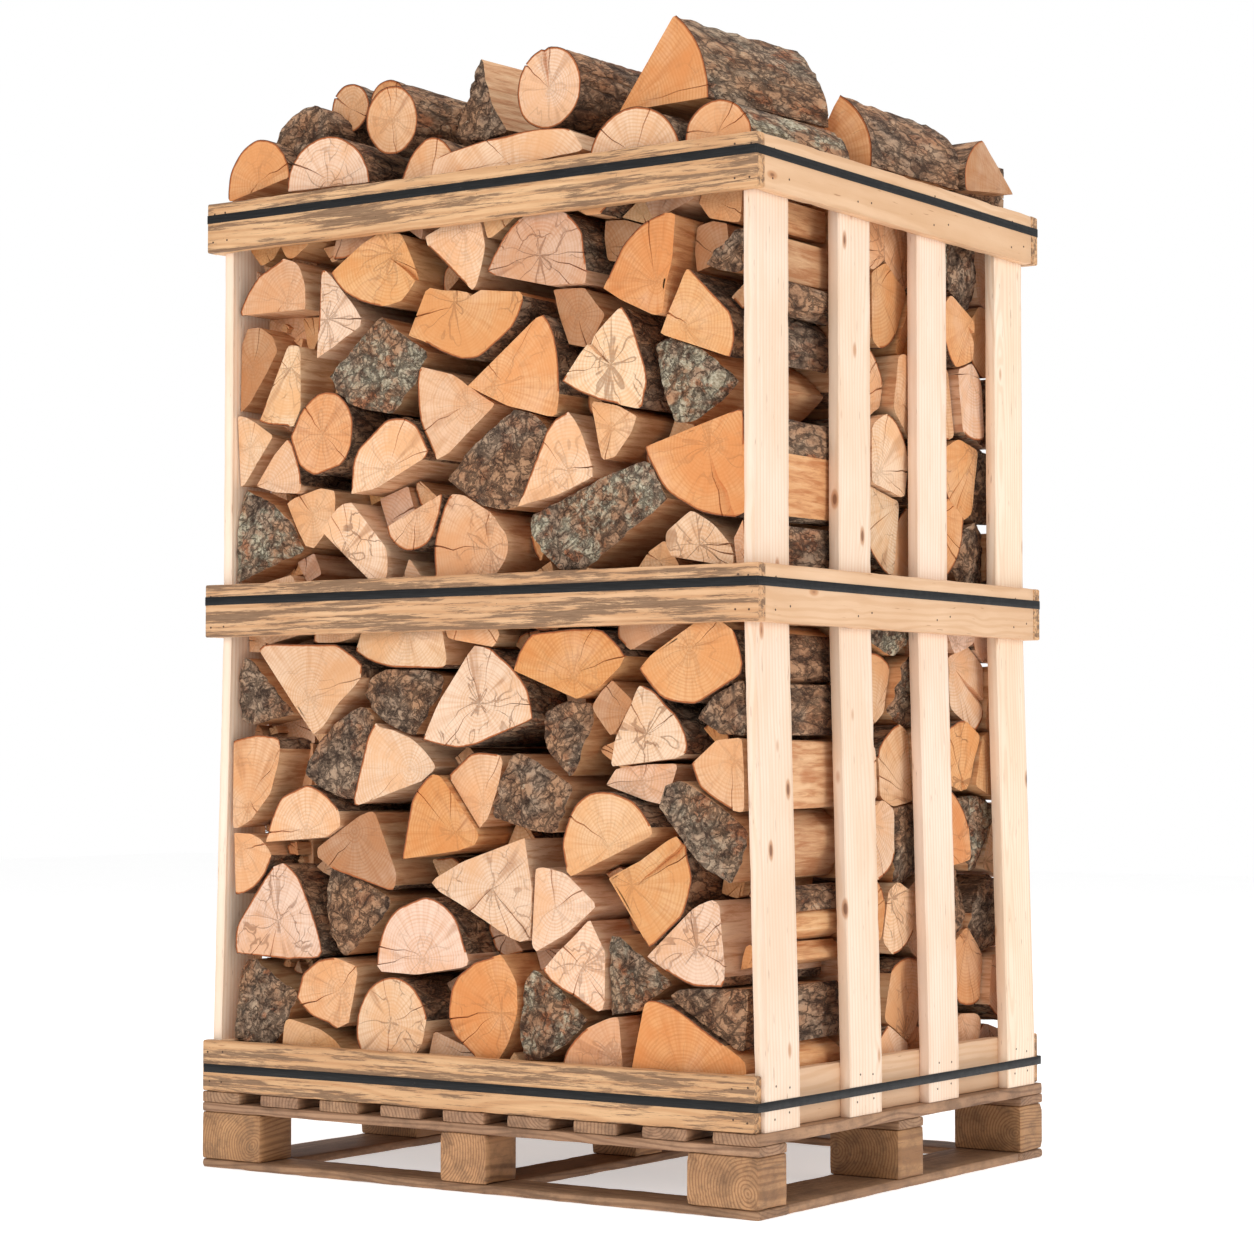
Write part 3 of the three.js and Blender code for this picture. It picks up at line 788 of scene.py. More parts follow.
def front_row():
    out = Set()
    for i, (tone, back, look, corners, *grain) in enumerate(FRONT_LOGS):
        rng = np.random.default_rng(100 + i)
        full = [(*c[:2], c[2] if len(c) > 2 else 0, len(c) > 2) for c in corners]
        ring, bark = walk([(x * MM, z * MM, bulge, flag) for x, z, bulge, flag in full])
        ring = ring - np.array([back * SIDE_STEP * MM, 0])
        middle = ring.mean(0)
        size = math.sqrt(np.prod(np.ptp(ring, axis=0)))
        rough = wave_ring(RING, rng, 9, 0.8) * (0.012 * bark + 0.006)
        rough = rough + wave_ring(RING, rng, 20, 0.2, 8) * 0.005
        spoke = ring - middle
        ring = ring + spoke / np.linalg.norm(spoke, axis=1, keepdims=True) * (rough * size + GROW)[:, None]
        # the pith is away from the bark, or in the middle of a log that is cracked like a star
        pith = middle.copy()
        if look < 0.7 and 0 < bark.sum() < RING:
            away = middle - ring[bark > 0.5].mean(0)
            pith = middle + away * 0.75
        if tone == "bark":
            out.add(ring, bark, pith, tone="brown", front=back * MM, bark_front=True, moss=look, seed=i,
                    grain=grain[0] if grain else 30 * (i % 6))
        else:
            out.add(ring, bark, pith, tone=tone, front=back * MM, crack_look=look, seed=i,
                    cracks=int(1 + 3 * look), moss=(i * 0.37) % 0.6)
    low = np.array([-STACK_X, STACK_LOW + 1 * MM])
    high = np.array([STACK_X, HIDDEN_TOP])
    settle(out, low, high)
    fill(out, low, high, 700, SMALL_GAP, LARGE_GAP)
    # the camera looks through the left edge, so its narrow gaps are filled as well
    fill(out, low, np.array([LEFT_EDGE, high[1]]), 900, SMALL_GAP / 2, 40 * MM)
    settle(out, low, high)
    # and a column of logs deeper in the stack lies behind the level gaps there
    left, right = DEEP_X
    count = round((STACK_HIGH - STACK_LOW) / DEEP_HEIGHT)
    edges = np.linspace(STACK_LOW + 2 * MM, STACK_HIGH, count + 1)
    for k, (z0, z1) in enumerate(zip(edges[:-1], edges[1:])):
        z1 -= 1 * MM
        ring, bark = walk([(x, z, 0, False) for x, z in ((left, z0), (right, z0), (right, z1), (left, z1))])
        out.add(ring, bark, ring.mean(0), tone="tan", front=DEEP_BACK, crack_look=0.3, seed=950 + k, cracks=2,
                moss=0.3, stations=FILL_STATIONS)
    return out


def settle(logs, low, high):
    """Trims overlaps, then opens the last narrow gaps."""
    rings, barks = cut_apart(logs.rings, [info["bark"] for info in logs.info], GAP)
    for info, flags in zip(logs.info, barks):
        info["bark"] = flags
    logs.rings = part_logs(rings, GAP, low, high, 5)


FILL_STATIONS = (0, 0.004, 0.03, 0.1, 0.2)


def fill(out, low, high, seed, smallest, largest):
    """Odd logs and splinters in the gaps, set back behind the ones around them."""
    rng = np.random.default_rng(seed)
    kinds = ("split3", "split4", "quarter", "tri", "half")
    tones = ("tan", "brown", "gold", "tan", "grey")
    for k, (at, size) in enumerate(empty_spots(out.rings, low, high, smallest, largest)):
        w, h = size * rng.uniform(2.2, 2.9, 2)
        ring, bark, pith = end_outline(kinds[rng.integers(5)], w, h, rng.uniform(0, 360), rng)
        back = rng.uniform(50, 120) * MM if size < 36 * MM else rng.uniform(5, 30) * MM
        out.add(ring + at, bark, pith + at, tone=tones[rng.integers(5)], front=back, crack_look=0.3,
                seed=seed + k, cracks=2, moss=0.3, stations=FILL_STATIONS)


def cell_row(low, high, seed, across, up, bark_share=0.16):
    """Split logs packed in a rectangle: cells around scattered middles, each cut round where its bark is."""
    rng = np.random.default_rng(seed)
    nu = max(1, round((high[0] - low[0]) / across))
    nv = max(1, round((high[1] - low[1]) / up))
    du, dv = (high[0] - low[0]) / nu, (high[1] - low[1]) / nv
    seeds = []
    for j in range(nv):
        for i in range(nu + (j % 2)):
            u = low[0] + (i + (0.5 if j % 2 == 0 else 0.0)) * du + rng.uniform(-0.26, 0.26) * du
            v = low[1] + (j + 0.5) * dv + rng.uniform(-0.26, 0.26) * dv
            seeds.append((min(max(u, low[0] + 0.02), high[0] - 0.02), v))
    seeds = np.array(seeds)
    out = Set()
    names = list(TONES)
    for k, s in enumerate(seeds):
        poly = np.array([[low[0], low[1]], [high[0], low[1]], [high[0], high[1]], [low[0], high[1]]])
        for o in seeds:
            d = o - s
            gap = np.linalg.norm(d)
            if 1e-9 < gap < 0.5:
                poly = clip(poly, (s + o) / 2 - d / gap * GAP / 2, d / gap)
        if len(poly) < 3:
            continue
        ring, _ = resample(poly, np.zeros(len(poly)))
        # the pith is near a corner, and the bark is where the far corners are rounded off
        corner = poly[rng.integers(len(poly))]
        pith = corner + (s - corner) * rng.uniform(0.0, 0.35)
        far = np.linalg.norm(ring - pith, axis=1)
        reach = far.max() * rng.uniform(0.80, 0.93)
        shrink = np.minimum(1, reach / np.maximum(far, 1e-6))
        ring = pith + (ring - pith) * shrink[:, None]
        bark = (shrink < 0.999).astype(float)
        ring, bark = resample(ring, bark)
        size = math.sqrt(np.prod(np.ptp(ring, axis=0)))
        middle = ring.mean(0)
        rough = np.clip(wave_ring(RING, rng, 12, 0.6), -1, 0) * 0.035 * size
        spoke = ring - middle
        ring = ring + spoke / np.linalg.norm(spoke, axis=1, keepdims=True) * rough[:, None]
        ring = (np.roll(ring, 1, 0) + 3 * ring + np.roll(ring, -1, 0)) / 5
        fronted = rng.random() < bark_share
        out.add(ring, bark, pith, tone=names[rng.integers(5)], front=rng.uniform(0, 26) * MM,
                bark_front=fronted, moss=rng.uniform(0, 1), seed=seed + k, cracks=int(rng.integers(2, 6)),
                crack_look=rng.uniform(0.2, 1))
    return out


def clip(poly, point, normal):
    """The part of a convex polygon behind a line."""
    keep = []
    side = (poly - point) @ normal
    for i in range(len(poly)):
        j = (i + 1) % len(poly)
        if side[i] <= 0:
            keep.append(poly[i])
        if (side[i] < 0 < side[j]) or (side[j] < 0 < side[i]):
            t = side[i] / (side[i] - side[j])
            keep.append(poly[i] + t * (poly[j] - poly[i]))
    return np.array(keep)


LIMIT = (np.array([-STACK_X, -474 * MM, STACK_LOW]), np.array([STACK_X, 474 * MM, cad_box[1][2] - 0.5 * MM]))


def loft_set(logs, pile, front_at, length, facing, limit=LIMIT, stations=None):
    for ring, info in zip(logs.rings, logs.info):
        info = dict(info)
        front = front_at + info.pop("front")
        tone = np.array(TONES[info.pop("tone")])
        rng = np.random.default_rng(info["seed"] + 9000)
        tone = tone * rng.uniform(0.93, 1.05)
        tone = tone * np.array([1, rng.uniform(0.97, 1.03), rng.uniform(0.93, 1.05)])
        add_log(pile, ring, info.pop("bark"), info.pop("pith"), tone, info.pop("seed"), front,
                length - (front - front_at), facing=facing, limit=limit,
                stations=info.pop("stations", stations), **info)


# ------------------------------------------------------------ shader helpers


class Shader:
    """A node tree with one Principled surface, and short ways to add nodes to it."""

    def __init__(self, name):
        self.material = bpy.data.materials.new(name)
        self.material.use_nodes = True
        self.tree = self.material.node_tree
        self.tree.nodes.clear()
        self.out = self.tree.nodes.new("ShaderNodeOutputMaterial")
        self.surface = self.tree.nodes.new("ShaderNodeBsdfPrincipled")
        self.tree.links.new(self.surface.outputs["BSDF"], self.out.inputs["Surface"])

    def put(self, socket, value):
        if isinstance(value, bpy.types.NodeSocket):
            self.tree.links.new(value, socket)
        elif isinstance(value, tuple) and len(value) == 3 and socket.type == "RGBA":
            socket.default_value = (*value, 1)
        else:
            socket.default_value = value

    def attribute(self, name):
        node = self.tree.nodes.new("ShaderNodeAttribute")
        node.attribute_type = "GEOMETRY"
        node.attribute_name = name
        return node

    def math(self, how, a, b=0.0):
        node = self.tree.nodes.new("ShaderNodeMath")
        node.operation = how
        self.put(node.inputs[0], a)
        self.put(node.inputs[1], b)
        return node.outputs[0]

    def times(self, a, b):
        return self.math("MULTIPLY", a, b)

    def plus(self, a, b):
        return self.math("ADD", a, b)

    def minus(self, a, b):
        return self.math("SUBTRACT", a, b)

    def largest(self, a, b):
        return self.math("MAXIMUM", a, b)

    def size(self, a):
        return self.math("ABSOLUTE", a)

    def vector(self, how, a, b=(0, 0, 0)):
        node = self.tree.nodes.new("ShaderNodeVectorMath")
        node.operation = how
        self.put(node.inputs[0], a)
        if how not in ("LENGTH", "NORMALIZE"):
            self.put(node.inputs[1], b)
        return node.outputs["Value"] if how == "LENGTH" else node.outputs["Vector"]

    def join(self, x, y, z):
        node = self.tree.nodes.new("ShaderNodeCombineXYZ")
        for i, v in enumerate((x, y, z)):
            self.put(node.inputs[i], v)
        return node.outputs[0]

    def split(self, v):
        node = self.tree.nodes.new("ShaderNodeSeparateXYZ")
        self.put(node.inputs[0], v)
        return node.outputs

    def noise(self, vector, scale, detail=3.0, rough=0.55, distort=0.0):
        node = self.tree.nodes.new("ShaderNodeTexNoise")
        self.put(node.inputs["Vector"], vector)
        for key, v in (("Scale", scale), ("Detail", detail), ("Roughness", rough), ("Distortion", distort)):
            self.put(node.inputs[key], v)
        return node.outputs["Fac"]

    def voronoi(self, vector, scale, feature="F1"):
        node = self.tree.nodes.new("ShaderNodeTexVoronoi")
        node.feature = feature
        self.put(node.inputs["Vector"], vector)
        self.put(node.inputs["Scale"], scale)
        return node

    def step(self, value, low, high, to=(0.0, 1.0)):
        node = self.tree.nodes.new("ShaderNodeMapRange")
        node.interpolation_type = "SMOOTHSTEP"
        node.clamp = True
        self.put(node.inputs["Value"], value)
        self.put(node.inputs["From Min"], low)
        self.put(node.inputs["From Max"], high)
        self.put(node.inputs["To Min"], to[0])
        self.put(node.inputs["To Max"], to[1])
        return node.outputs["Result"]

    def mix(self, factor, a, b, how="MIX"):
        node = self.tree.nodes.new("ShaderNodeMix")
        node.data_type = "RGBA"
        node.blend_type = how
        node.clamp_factor = True
        self.put(node.inputs[0], factor)
        self.put(node.inputs[6], a)
        self.put(node.inputs[7], b)
        return node.outputs[2]

    def tinted(self, colour, tint):
        return self.mix(1.0, colour, tint, "MULTIPLY")

    def bump(self, height, strength, distance):
        node = self.tree.nodes.new("ShaderNodeBump")
        self.put(node.inputs["Strength"], strength)
        self.put(node.inputs["Distance"], distance)
        self.put(node.inputs["Height"], height)
        return node.outputs[0]

    def finish(self, colour, roughness, normal=None, specular=0.35):
        self.put(self.surface.inputs["Base Color"], colour)
        self.put(self.surface.inputs["Roughness"], roughness)
        self.surface.inputs["Specular IOR Level"].default_value = specular
        if normal is not None:
            self.put(self.surface.inputs["Normal"], normal)
        return self.material


def end_grain():
    s = Shader("log_end")
    log, tone, mix = s.attribute("LOG"), s.attribute("TONE"), s.attribute("MIX")
    at = log.outputs["Vector"]
    u, v, _ = s.split(at)
    rim, look, _ = s.split(mix.outputs["Vector"])
    flat = s.join(u, v, 0.0)
    seed = s.times(mix.outputs["Alpha"], 37.0)
    r = s.vector("LENGTH", flat)
    way = s.vector("NORMALIZE", flat)
    wayx, wayy, _ = s.split(way)
    shifted = s.join(u, v, seed)
    # yearly rings, faint and a little wavy
    wobble = s.noise(shifted, 14.0, 3.0)
    rr = s.plus(r, s.times(s.minus(wobble, 0.5), 0.016))
    rings = s.math("SINE", s.times(rr, 2 * math.pi / 0.0062))
    wide_rings = s.noise(s.join(s.times(rr, 60.0), seed, 0.0), 1.0, 2.0)
    ring_tone = s.plus(s.times(rings, 0.2), s.times(wide_rings, 0.85))
    # fibres torn by the saw, that run out from the pith
    rays = s.noise(s.join(s.times(wayx, 5.0), s.times(wayy, 5.0),
                          s.plus(s.times(r, 3.0), seed)), 2.2, 5.0, 0.65)
    broad = s.noise(s.join(s.times(wayx, 1.6), s.times(wayy, 1.6),
                           s.plus(s.times(r, 5.0), seed)), 1.4, 3.0, 0.6)
    patch = s.noise(shifted, 9.0, 4.0, 0.6)
    fine = s.noise(shifted, 220.0, 3.0, 0.7)
    base = tone.outputs["Color"]
    colour = s.mix(s.step(rays, 0.38, 0.7, (0.0, 0.5)), base, s.tinted(base, linear(222, 186, 150)))
    colour = s.mix(s.step(ring_tone, 0.3, 0.66, (0.0, 0.42)), colour, s.tinted(base, linear(228, 190, 150)))
    colour = s.mix(s.step(patch, 0.45, 0.66, (0.0, 0.75)), colour, s.tinted(base, linear(248, 220, 190)))
    colour = s.mix(s.step(patch, 0.5, 0.25, (0.0, 0.35)), colour, s.mix(0.5, base, linear(250, 226, 204)))
    stain = s.times(s.step(broad, 0.56, 0.72), s.step(look, 0.1, 1.0, (0.25, 0.6)))
    colour = s.mix(stain, colour, s.tinted(base, linear(180, 140, 110)))
    colour = s.mix(s.step(fine, 0.55, 0.8, (0.0, 0.25)), colour, s.tinted(base, linear(205, 165, 130)))
    # cracks, painted in as dark lines of shade that also sink the bump: some run out from the pith, others
    # are a net of short ones
    line = s.size(s.minus(s.noise(
        s.join(s.times(wayx, 0.8), s.times(wayy, 0.8),
               s.plus(s.times(r, 6.0), seed)), 1.3, 2.0, 0.5), 0.5))
    width = s.math("DIVIDE", 0.0006, s.largest(r, 0.006))
    radial = s.times(s.step(line, s.times(width, 0.35), width, (1.0, 0.0)),
                    s.step(r, 0.11, 0.04))
    jig = s.join(s.plus(u, s.times(s.minus(s.noise(shifted, 30.0, 3.0), 0.5), 0.035)),
                 s.plus(v, s.times(s.minus(s.noise(shifted, 27.0, 3.0), 0.5), 0.035)),
                 seed)
    net_node = s.voronoi(jig, 24.0, "DISTANCE_TO_EDGE")
    net = s.step(net_node.outputs["Distance"], 0.012, 0.035, (1.0, 0.0))
    net = s.times(net, s.step(s.noise(shifted, 16.0, 2.0), 0.48, 0.6))
    net = s.times(net, s.step(look, 0.2, 1.0, (0.1, 0.85)))
    radial = s.times(radial, s.step(look, 0.1, 1.0, (0.12, 0.75)))
    crack_shade = s.largest(radial, net)
    # painted shade: the cracks' dark brown stands in for the shade inside them
    colour = s.mix(s.times(crack_shade, 0.72), colour, linear(124, 76, 46))
    # the inner bark's orange-brown line
    edge = s.plus(rim, s.times(s.minus(s.noise(shifted, 90.0, 3.0), 0.5), 0.5))
    colour = s.mix(s.step(edge, 0.26, 0.46), colour, linear(170, 96, 50))
    colour = s.mix(s.step(edge, 0.68, 0.86), colour, linear(92, 54, 34))
    height = s.minus(s.plus(s.times(rays, 0.5), s.times(fine, 0.35)),
                    s.times(crack_shade, 1.6))
    normal = s.bump(height, 0.55, 0.0022)
    return s.finish(colour, 0.72, normal, 0.3)


def split_side():
    s = Shader("log_split")
    log, tone, mix = s.attribute("LOG"), s.attribute("TONE"), s.attribute("MIX")
    u, v, w = s.split(log.outputs["Vector"])
    seed = s.times(mix.outputs["Alpha"], 37.0)
    along = s.join(s.plus(s.times(u, 10.0), seed), s.times(v, 10.0), w)
    fibres = s.noise(along, 9.0, 5.0, 0.68, 0.4)
    hairs = s.noise(along, 34.0, 4.0, 0.7)
    broad = s.noise(s.join(s.plus(s.times(u, 3.0), seed), s.times(v, 3.0), w),
                    7.0, 3.0, 0.6)
    base = s.mix(0.4, tone.outputs["Color"], linear(228, 178, 130))
    colour = s.mix(s.step(fibres, 0.42, 0.66, (0.0, 0.75)), base, s.tinted(base, linear(206, 164, 130)))
    colour = s.mix(s.step(fibres, 0.45, 0.3, (0.0, 0.5)), colour, linear(238, 200, 158))
    colour = s.mix(s.step(broad, 0.55, 0.75, (0.0, 0.6)), colour, s.tinted(base, linear(196, 146, 108)))
    colour = s.mix(s.step(hairs, 0.6, 0.78, (0.0, 0.55)), colour, linear(130, 76, 42))
    rim = s.split(mix.outputs["Vector"])[0]
    colour = s.mix(s.step(rim, 0.3, 0.9), colour, linear(140, 78, 40))
    height = s.plus(s.times(fibres, 0.8), s.times(hairs, 0.5))
    return s.finish(colour, 0.66, s.bump(height, 0.7, 0.003), 0.35)


def bark():
    s = Shader("log_bark")
    log, mix = s.attribute("LOG"), s.attribute("MIX")
    u, v, w = s.split(log.outputs["Vector"])
    seed = s.times(mix.outputs["Alpha"], 37.0)
    moss = s.split(mix.outputs["Vector"])[2]
    at = s.join(s.plus(u, seed), v, s.times(w, 0.42))
    ridge = s.noise(at, 42.0, 6.0, 0.62, 0.5)
    plate = s.noise(at, 19.0, 3.0, 0.55, 0.6)
    fine = s.noise(at, 210.0, 4.0, 0.75)
    patch = s.noise(at, 9.0, 3.0, 0.6)
    line = s.size(s.minus(s.noise(at, 24.0, 4.0, 0.62, 0.8), 0.5))
    warp = s.times(s.minus(s.noise(at, 26.0, 4.0, 0.6), 0.5), 0.08)
    warped = s.vector("ADD", at, s.join(warp, warp, s.times(warp, -0.8)))
    cells = s.voronoi(warped, 36.0, "DISTANCE_TO_EDGE")
    # the furrows between the bark's plates: they sink the bump and are painted dark as shade
    crevice_shade = s.largest(s.step(line, 0.002, 0.03, (0.8, 0.0)),
                     s.step(cells.outputs["Distance"], 0.01, 0.1, (1.0, 0.0)))
    tone = s.plus(s.times(ridge, 0.75), s.times(fine, 0.35))
    colour = s.mix(s.step(tone, 0.42, 0.68), linear(76, 60, 50), linear(178, 152, 128))
    brown = s.mix(s.step(tone, 0.42, 0.66), linear(96, 66, 48), linear(182, 138, 104))
    colour = s.mix(s.step(patch, 0.4, 0.56, (0.15, 0.95)), colour, brown)
    # grey-green lichen on the ridges of mossy logs
    green = s.times(s.step(s.noise(at, 30.0, 5.0, 0.7), 0.42, 0.54),
                   s.times(s.step(plate, 0.4, 0.55), s.step(moss, 0.3, 0.95)))
    colour = s.mix(s.times(green, 0.85), colour,
                   s.mix(s.step(fine, 0.35, 0.65), linear(140, 130, 106), linear(206, 198, 174)))
    # reddish places where the outer bark has come off
    red = s.times(s.step(s.noise(at, 22.0, 5.0, 0.65), 0.55, 0.62), s.step(moss, 0.05, 0.6, (0.3, 1.0)))
    colour = s.mix(s.times(red, 0.7), colour,
                   s.mix(s.step(fine, 0.35, 0.65), linear(116, 64, 38), linear(178, 112, 72)))
    flecks = s.step(s.noise(at, 75.0, 4.0, 0.65), 0.64, 0.72)
    colour = s.mix(s.times(flecks, 0.65), colour, linear(196, 176, 150))
    # painted shade: the crevices between the plates are painted near-black
    colour = s.mix(s.times(crevice_shade, 0.68), colour, linear(48, 34, 26))
    height = s.plus(s.times(ridge, 0.9), s.times(fine, 0.3))
    height = s.minus(s.plus(height, s.times(plate, 0.5)),
                    s.times(crevice_shade, 0.6))
    return s.finish(colour, 0.85, s.bump(height, 0.8, 0.006), 0.25)


def board_wood(name, pale, dark, ring_gap, contrast, knots=0.0, mould=0.0, dirt=0.0, roughness=0.6):
    """Sawn pine: growth rings as nested tubes around a line off the board, so ends and faces agree."""
    s = Shader(name)
    log, tone, mix = s.attribute("LOG"), s.attribute("TONE"), s.attribute("MIX")
    at = log.outputs["Vector"]
    a, b, w = s.split(at)
    edge, amount, _ = s.split(mix.outputs["Vector"])
    seed = s.times(mix.outputs["Alpha"], 53.0)
    slow = s.join(s.times(a, 3.0), s.plus(s.times(b, 3.0), seed), s.times(w, 0.9))
    bend = s.times(s.minus(s.noise(slow, 2.2, 2.0), 0.5), 0.09)
    # knots push the rings apart around them
    kn = s.voronoi(s.join(s.times(a, 16.0), s.plus(s.times(b, 16.0), seed),
                          s.times(w, 7.0)), 1.0, "F1")
    kd = kn.outputs["Distance"]
    swirl = s.times(s.step(kd, 0.32, 0.0), 0.012 * (1 if knots else 0))
    r = s.vector("LENGTH", s.join(s.plus(a, s.plus(bend, swirl)), b, 0.0))
    rings = s.math("SINE", s.times(r, 2 * math.pi / ring_gap))
    lines = s.step(rings, -0.2, 0.95)
    streaks = s.noise(s.join(s.times(a, 14.0), s.plus(s.times(b, 14.0), seed),
                             s.times(w, 0.55)), 9.0, 5.0, 0.65)
    fine = s.noise(s.join(s.times(a, 30.0), s.plus(s.times(b, 30.0), seed), w),
                   26.0, 3.0, 0.7)
    cloud = s.noise(s.join(a, s.plus(b, seed), s.times(w, 0.35)), 11.0, 3.0, 0.6)
    base = s.mix(s.step(cloud, 0.3, 0.7), pale, s.mix(0.4, pale, dark))
    base = s.mix(1.0, base, tone.outputs["Color"], "MULTIPLY")
    colour = s.mix(s.times(lines, contrast), base, dark)
    colour = s.mix(s.step(streaks, 0.5, 0.75, (0.0, contrast)), colour, dark)
    if knots:
        ring = s.times(s.step(kd, 0.15, 0.09),
                       s.step(s.split(kn.outputs["Color"])[0], 1 - knots, 1.0 - knots + 0.02))
        colour = s.mix(s.times(ring, 0.7), colour, linear(190, 128, 80))
        heart = s.times(s.step(kd, 0.09, 0.05),
                        s.step(s.split(kn.outputs["Color"])[0], 1 - knots, 1.0 - knots + 0.02))
        colour = s.mix(s.times(heart, 0.7), colour, linear(96, 52, 28))
    # short resin streaks and nicks
    nick = s.noise(s.join(s.times(a, 60.0), s.plus(s.times(b, 60.0), seed),
                          s.times(w, 5.0)), 4.0, 2.0, 0.5)
    colour = s.mix(s.step(nick, 0.69, 0.76, (0.0, 0.55)), colour, linear(150, 88, 46))
    if mould:
        blot = s.noise(s.join(s.times(a, 11.0), s.plus(s.times(b, 11.0), seed),
                              s.times(w, 0.7)), 6.0, 8.0, 0.76, 0.2)
        where = s.plus(blot, s.times(amount, 0.17))
        dark_part = s.step(where, 0.65, 0.72)
        colour = s.mix(s.times(dark_part, mould), colour,
                       s.mix(s.step(fine, 0.35, 0.65), linear(58, 44, 36), linear(118, 94, 76)))
        halo = s.step(where, 0.5, 0.7)
        colour = s.mix(s.times(halo, mould * 0.28), colour, linear(172, 128, 88))
        specks = s.noise(s.join(a, s.plus(b, seed), w), 210.0, 2.0, 0.5)
        colour = s.mix(s.times(s.step(specks, 0.72, 0.78), mould * 0.8), colour, linear(64, 48, 36))
    if dirt:
        grime = s.noise(s.join(a, s.plus(b, seed), s.times(w, 0.6)), 26.0, 5.0, 0.7)
        colour = s.mix(s.times(s.step(grime, 0.42, 0.68), dirt), colour, linear(92, 68, 50))
        colour = s.mix(s.times(s.step(fine, 0.6, 0.75), dirt * 0.6), colour, linear(56, 40, 30))
    colour = s.mix(s.step(edge, 0.3, 1.0, (0.0, 0.15)), colour, s.tinted(colour, linear(190, 160, 130)))
    height = s.plus(s.times(streaks, 0.6), s.times(fine, 0.5))
    height = s.minus(height, s.times(lines, 0.12))
    return s.finish(colour, roughness, s.bump(height, 0.45, 0.0016), 0.35)


# ------------------------------------------------------------------- boards


def add_board(pile, low, high, grain, seed, ease=1.6, stain=0.0, lean=None, wear=0.8):
    """A sawn board that fills a box, with eased and slightly worn edges. grain is the axis it runs along."""
    rng = np.random.default_rng(seed)
    low, high = np.array(low, float), np.array(high, float)
    order = {0: (1, 2, 0), 1: (2, 0, 1), 2: (0, 1, 2)}[grain]
    size = (high - low)[list(order)]
    half_a, half_b, length = size[0] / 2, size[1] / 2, size[2]
    e = ease * MM
    across = []
    per_a, per_b = max(2, int(size[0] / 0.012)), max(2, int(size[1] / 0.012))
    corners = [(half_a - e, -half_b + e, -90), (half_a - e, half_b - e, 0), (-half_a + e, half_b - e, 90),
               (-half_a + e, -half_b + e, 180)]
    counts = [per_b, per_a, per_b, per_a]
    for (ca, cb, start), n in zip(corners, counts):
        for k in range(4):
            t = math.radians(start + 30 * k)
            across.append((ca + e * math.cos(t), cb + e * math.sin(t), 1.0))
        t = math.radians(start + 90)
        here = np.array([ca + e * math.cos(t), cb + e * math.sin(t)])
        nxt = corners[(corners.index((ca, cb, start)) + 1) % 4]
        there = np.array([nxt[0] + e * math.cos(t), nxt[1] + e * math.sin(t)])
        for k in range(1, n):
            p = here + (there - here) * k / n
            across.append((p[0], p[1], 0.0))
    across = np.array(across)
    n = len(across)
    stations = max(6, int(length / 0.022))
    ts = np.concatenate([[0.0, e], np.linspace(0, length, stations + 1)[1:-1], [length - e, length]])
    ts = np.unique(np.clip(ts, 0, length))
    rows, logs, mixes = [], [], []
    shift = rng.uniform(0, 40)
    core = np.array([rng.uniform(-0.03, 0.03), rng.choice([-1, 1]) * rng.uniform(0.03, 0.09)])
    tag = rng.uniform(0, 1)
    rng.uniform(size=4)  # keeps the order of the draws that follow
    chips = np.abs(wave_line(ts, rng, 0.31, 6)) ** 3
    for k, t in enumerate(ts):
        inset = e * 0.6 if t in (0.0, length) or k in (0, len(ts) - 1) else 0.0
        pts = across[:, :2].copy()
        pts[:, 0] -= np.sign(pts[:, 0]) * inset * (np.abs(pts[:, 0]) > half_a - 2 * e)
        pts[:, 1] -= np.sign(pts[:, 1]) * inset * (np.abs(pts[:, 1]) > half_b - 2 * e)
        worn = hash_noise(pts[:, 0] / 0.03, pts[:, 1] / 0.03, np.full(n, t / 0.07), seed)
        rub = (0.35 + 0.35 * worn) * (0.25 + 0.75 * across[:, 2]) + chips[k] * across[:, 2]
        rub = rub * wear * MM
        pts *= 1 - (np.clip(rub, 0, 3 * MM) / max(half_a, half_b))[:, None]
        pts[:, 1] -= np.sign(pts[:, 1]) * np.clip(rub, 0, 2 * MM) * 0.5
        rows.append(np.column_stack([pts, np.full(n, t)]))
        logs.append(np.column_stack([across[:, 0] - core[0], across[:, 1] - core[1], np.full(n, t + shift)]))
        near_end = math.exp(-min(t, length - t) / 0.05)
        border = np.exp(-(half_a - np.abs(across[:, 0])) / 0.012)
        amount = np.full(n, stain) * (0.35 + 0.65 * np.maximum(border, near_end))
        mixes.append(np.column_stack([across[:, 2] * np.ones(n), amount, np.zeros(n), np.full(n, tag)]))
    rings = np.array(rows)
    k = len(rings)
    pole0, pole1 = np.array([0, 0, 0.0]), np.array([0, 0, length])
    xyz = np.concatenate([rings.reshape(-1, 3), pole0[None], pole1[None]])
    world = np.zeros_like(xyz)
    centre = (low + high) / 2
    world[:, order[0]] = xyz[:, 0] + centre[order[0]]
    world[:, order[1]] = xyz[:, 1] + centre[order[1]]
    world[:, order[2]] = xyz[:, 2] + low[order[2]]
    if lean is not None:
        world = lean(world)
    # the loft wants its rings counter-clockwise when seen from its first end
    flip = slice(None, None, -1)
    rr = world[:-2].reshape(k, n, 3)[:, flip]
    lg = np.array(logs)[:, flip]
    mx = np.array(mixes)[:, flip]
    bright = rng.uniform(0.94, 1.04)
    tone = np.array([bright, bright * rng.uniform(0.98, 1.01), bright * rng.uniform(0.95, 1.02)])
    mats = np.zeros((k - 1, n), int)
    m0 = np.array([0.3, stain, 0, tag])
    pile.loft(rr, world[-2], world[-1], lg, np.array([-core[0], -core[1], shift]),
              np.array([-core[0], -core[1], length + shift]), tone, mx, m0, m0, mats, 0, 0)


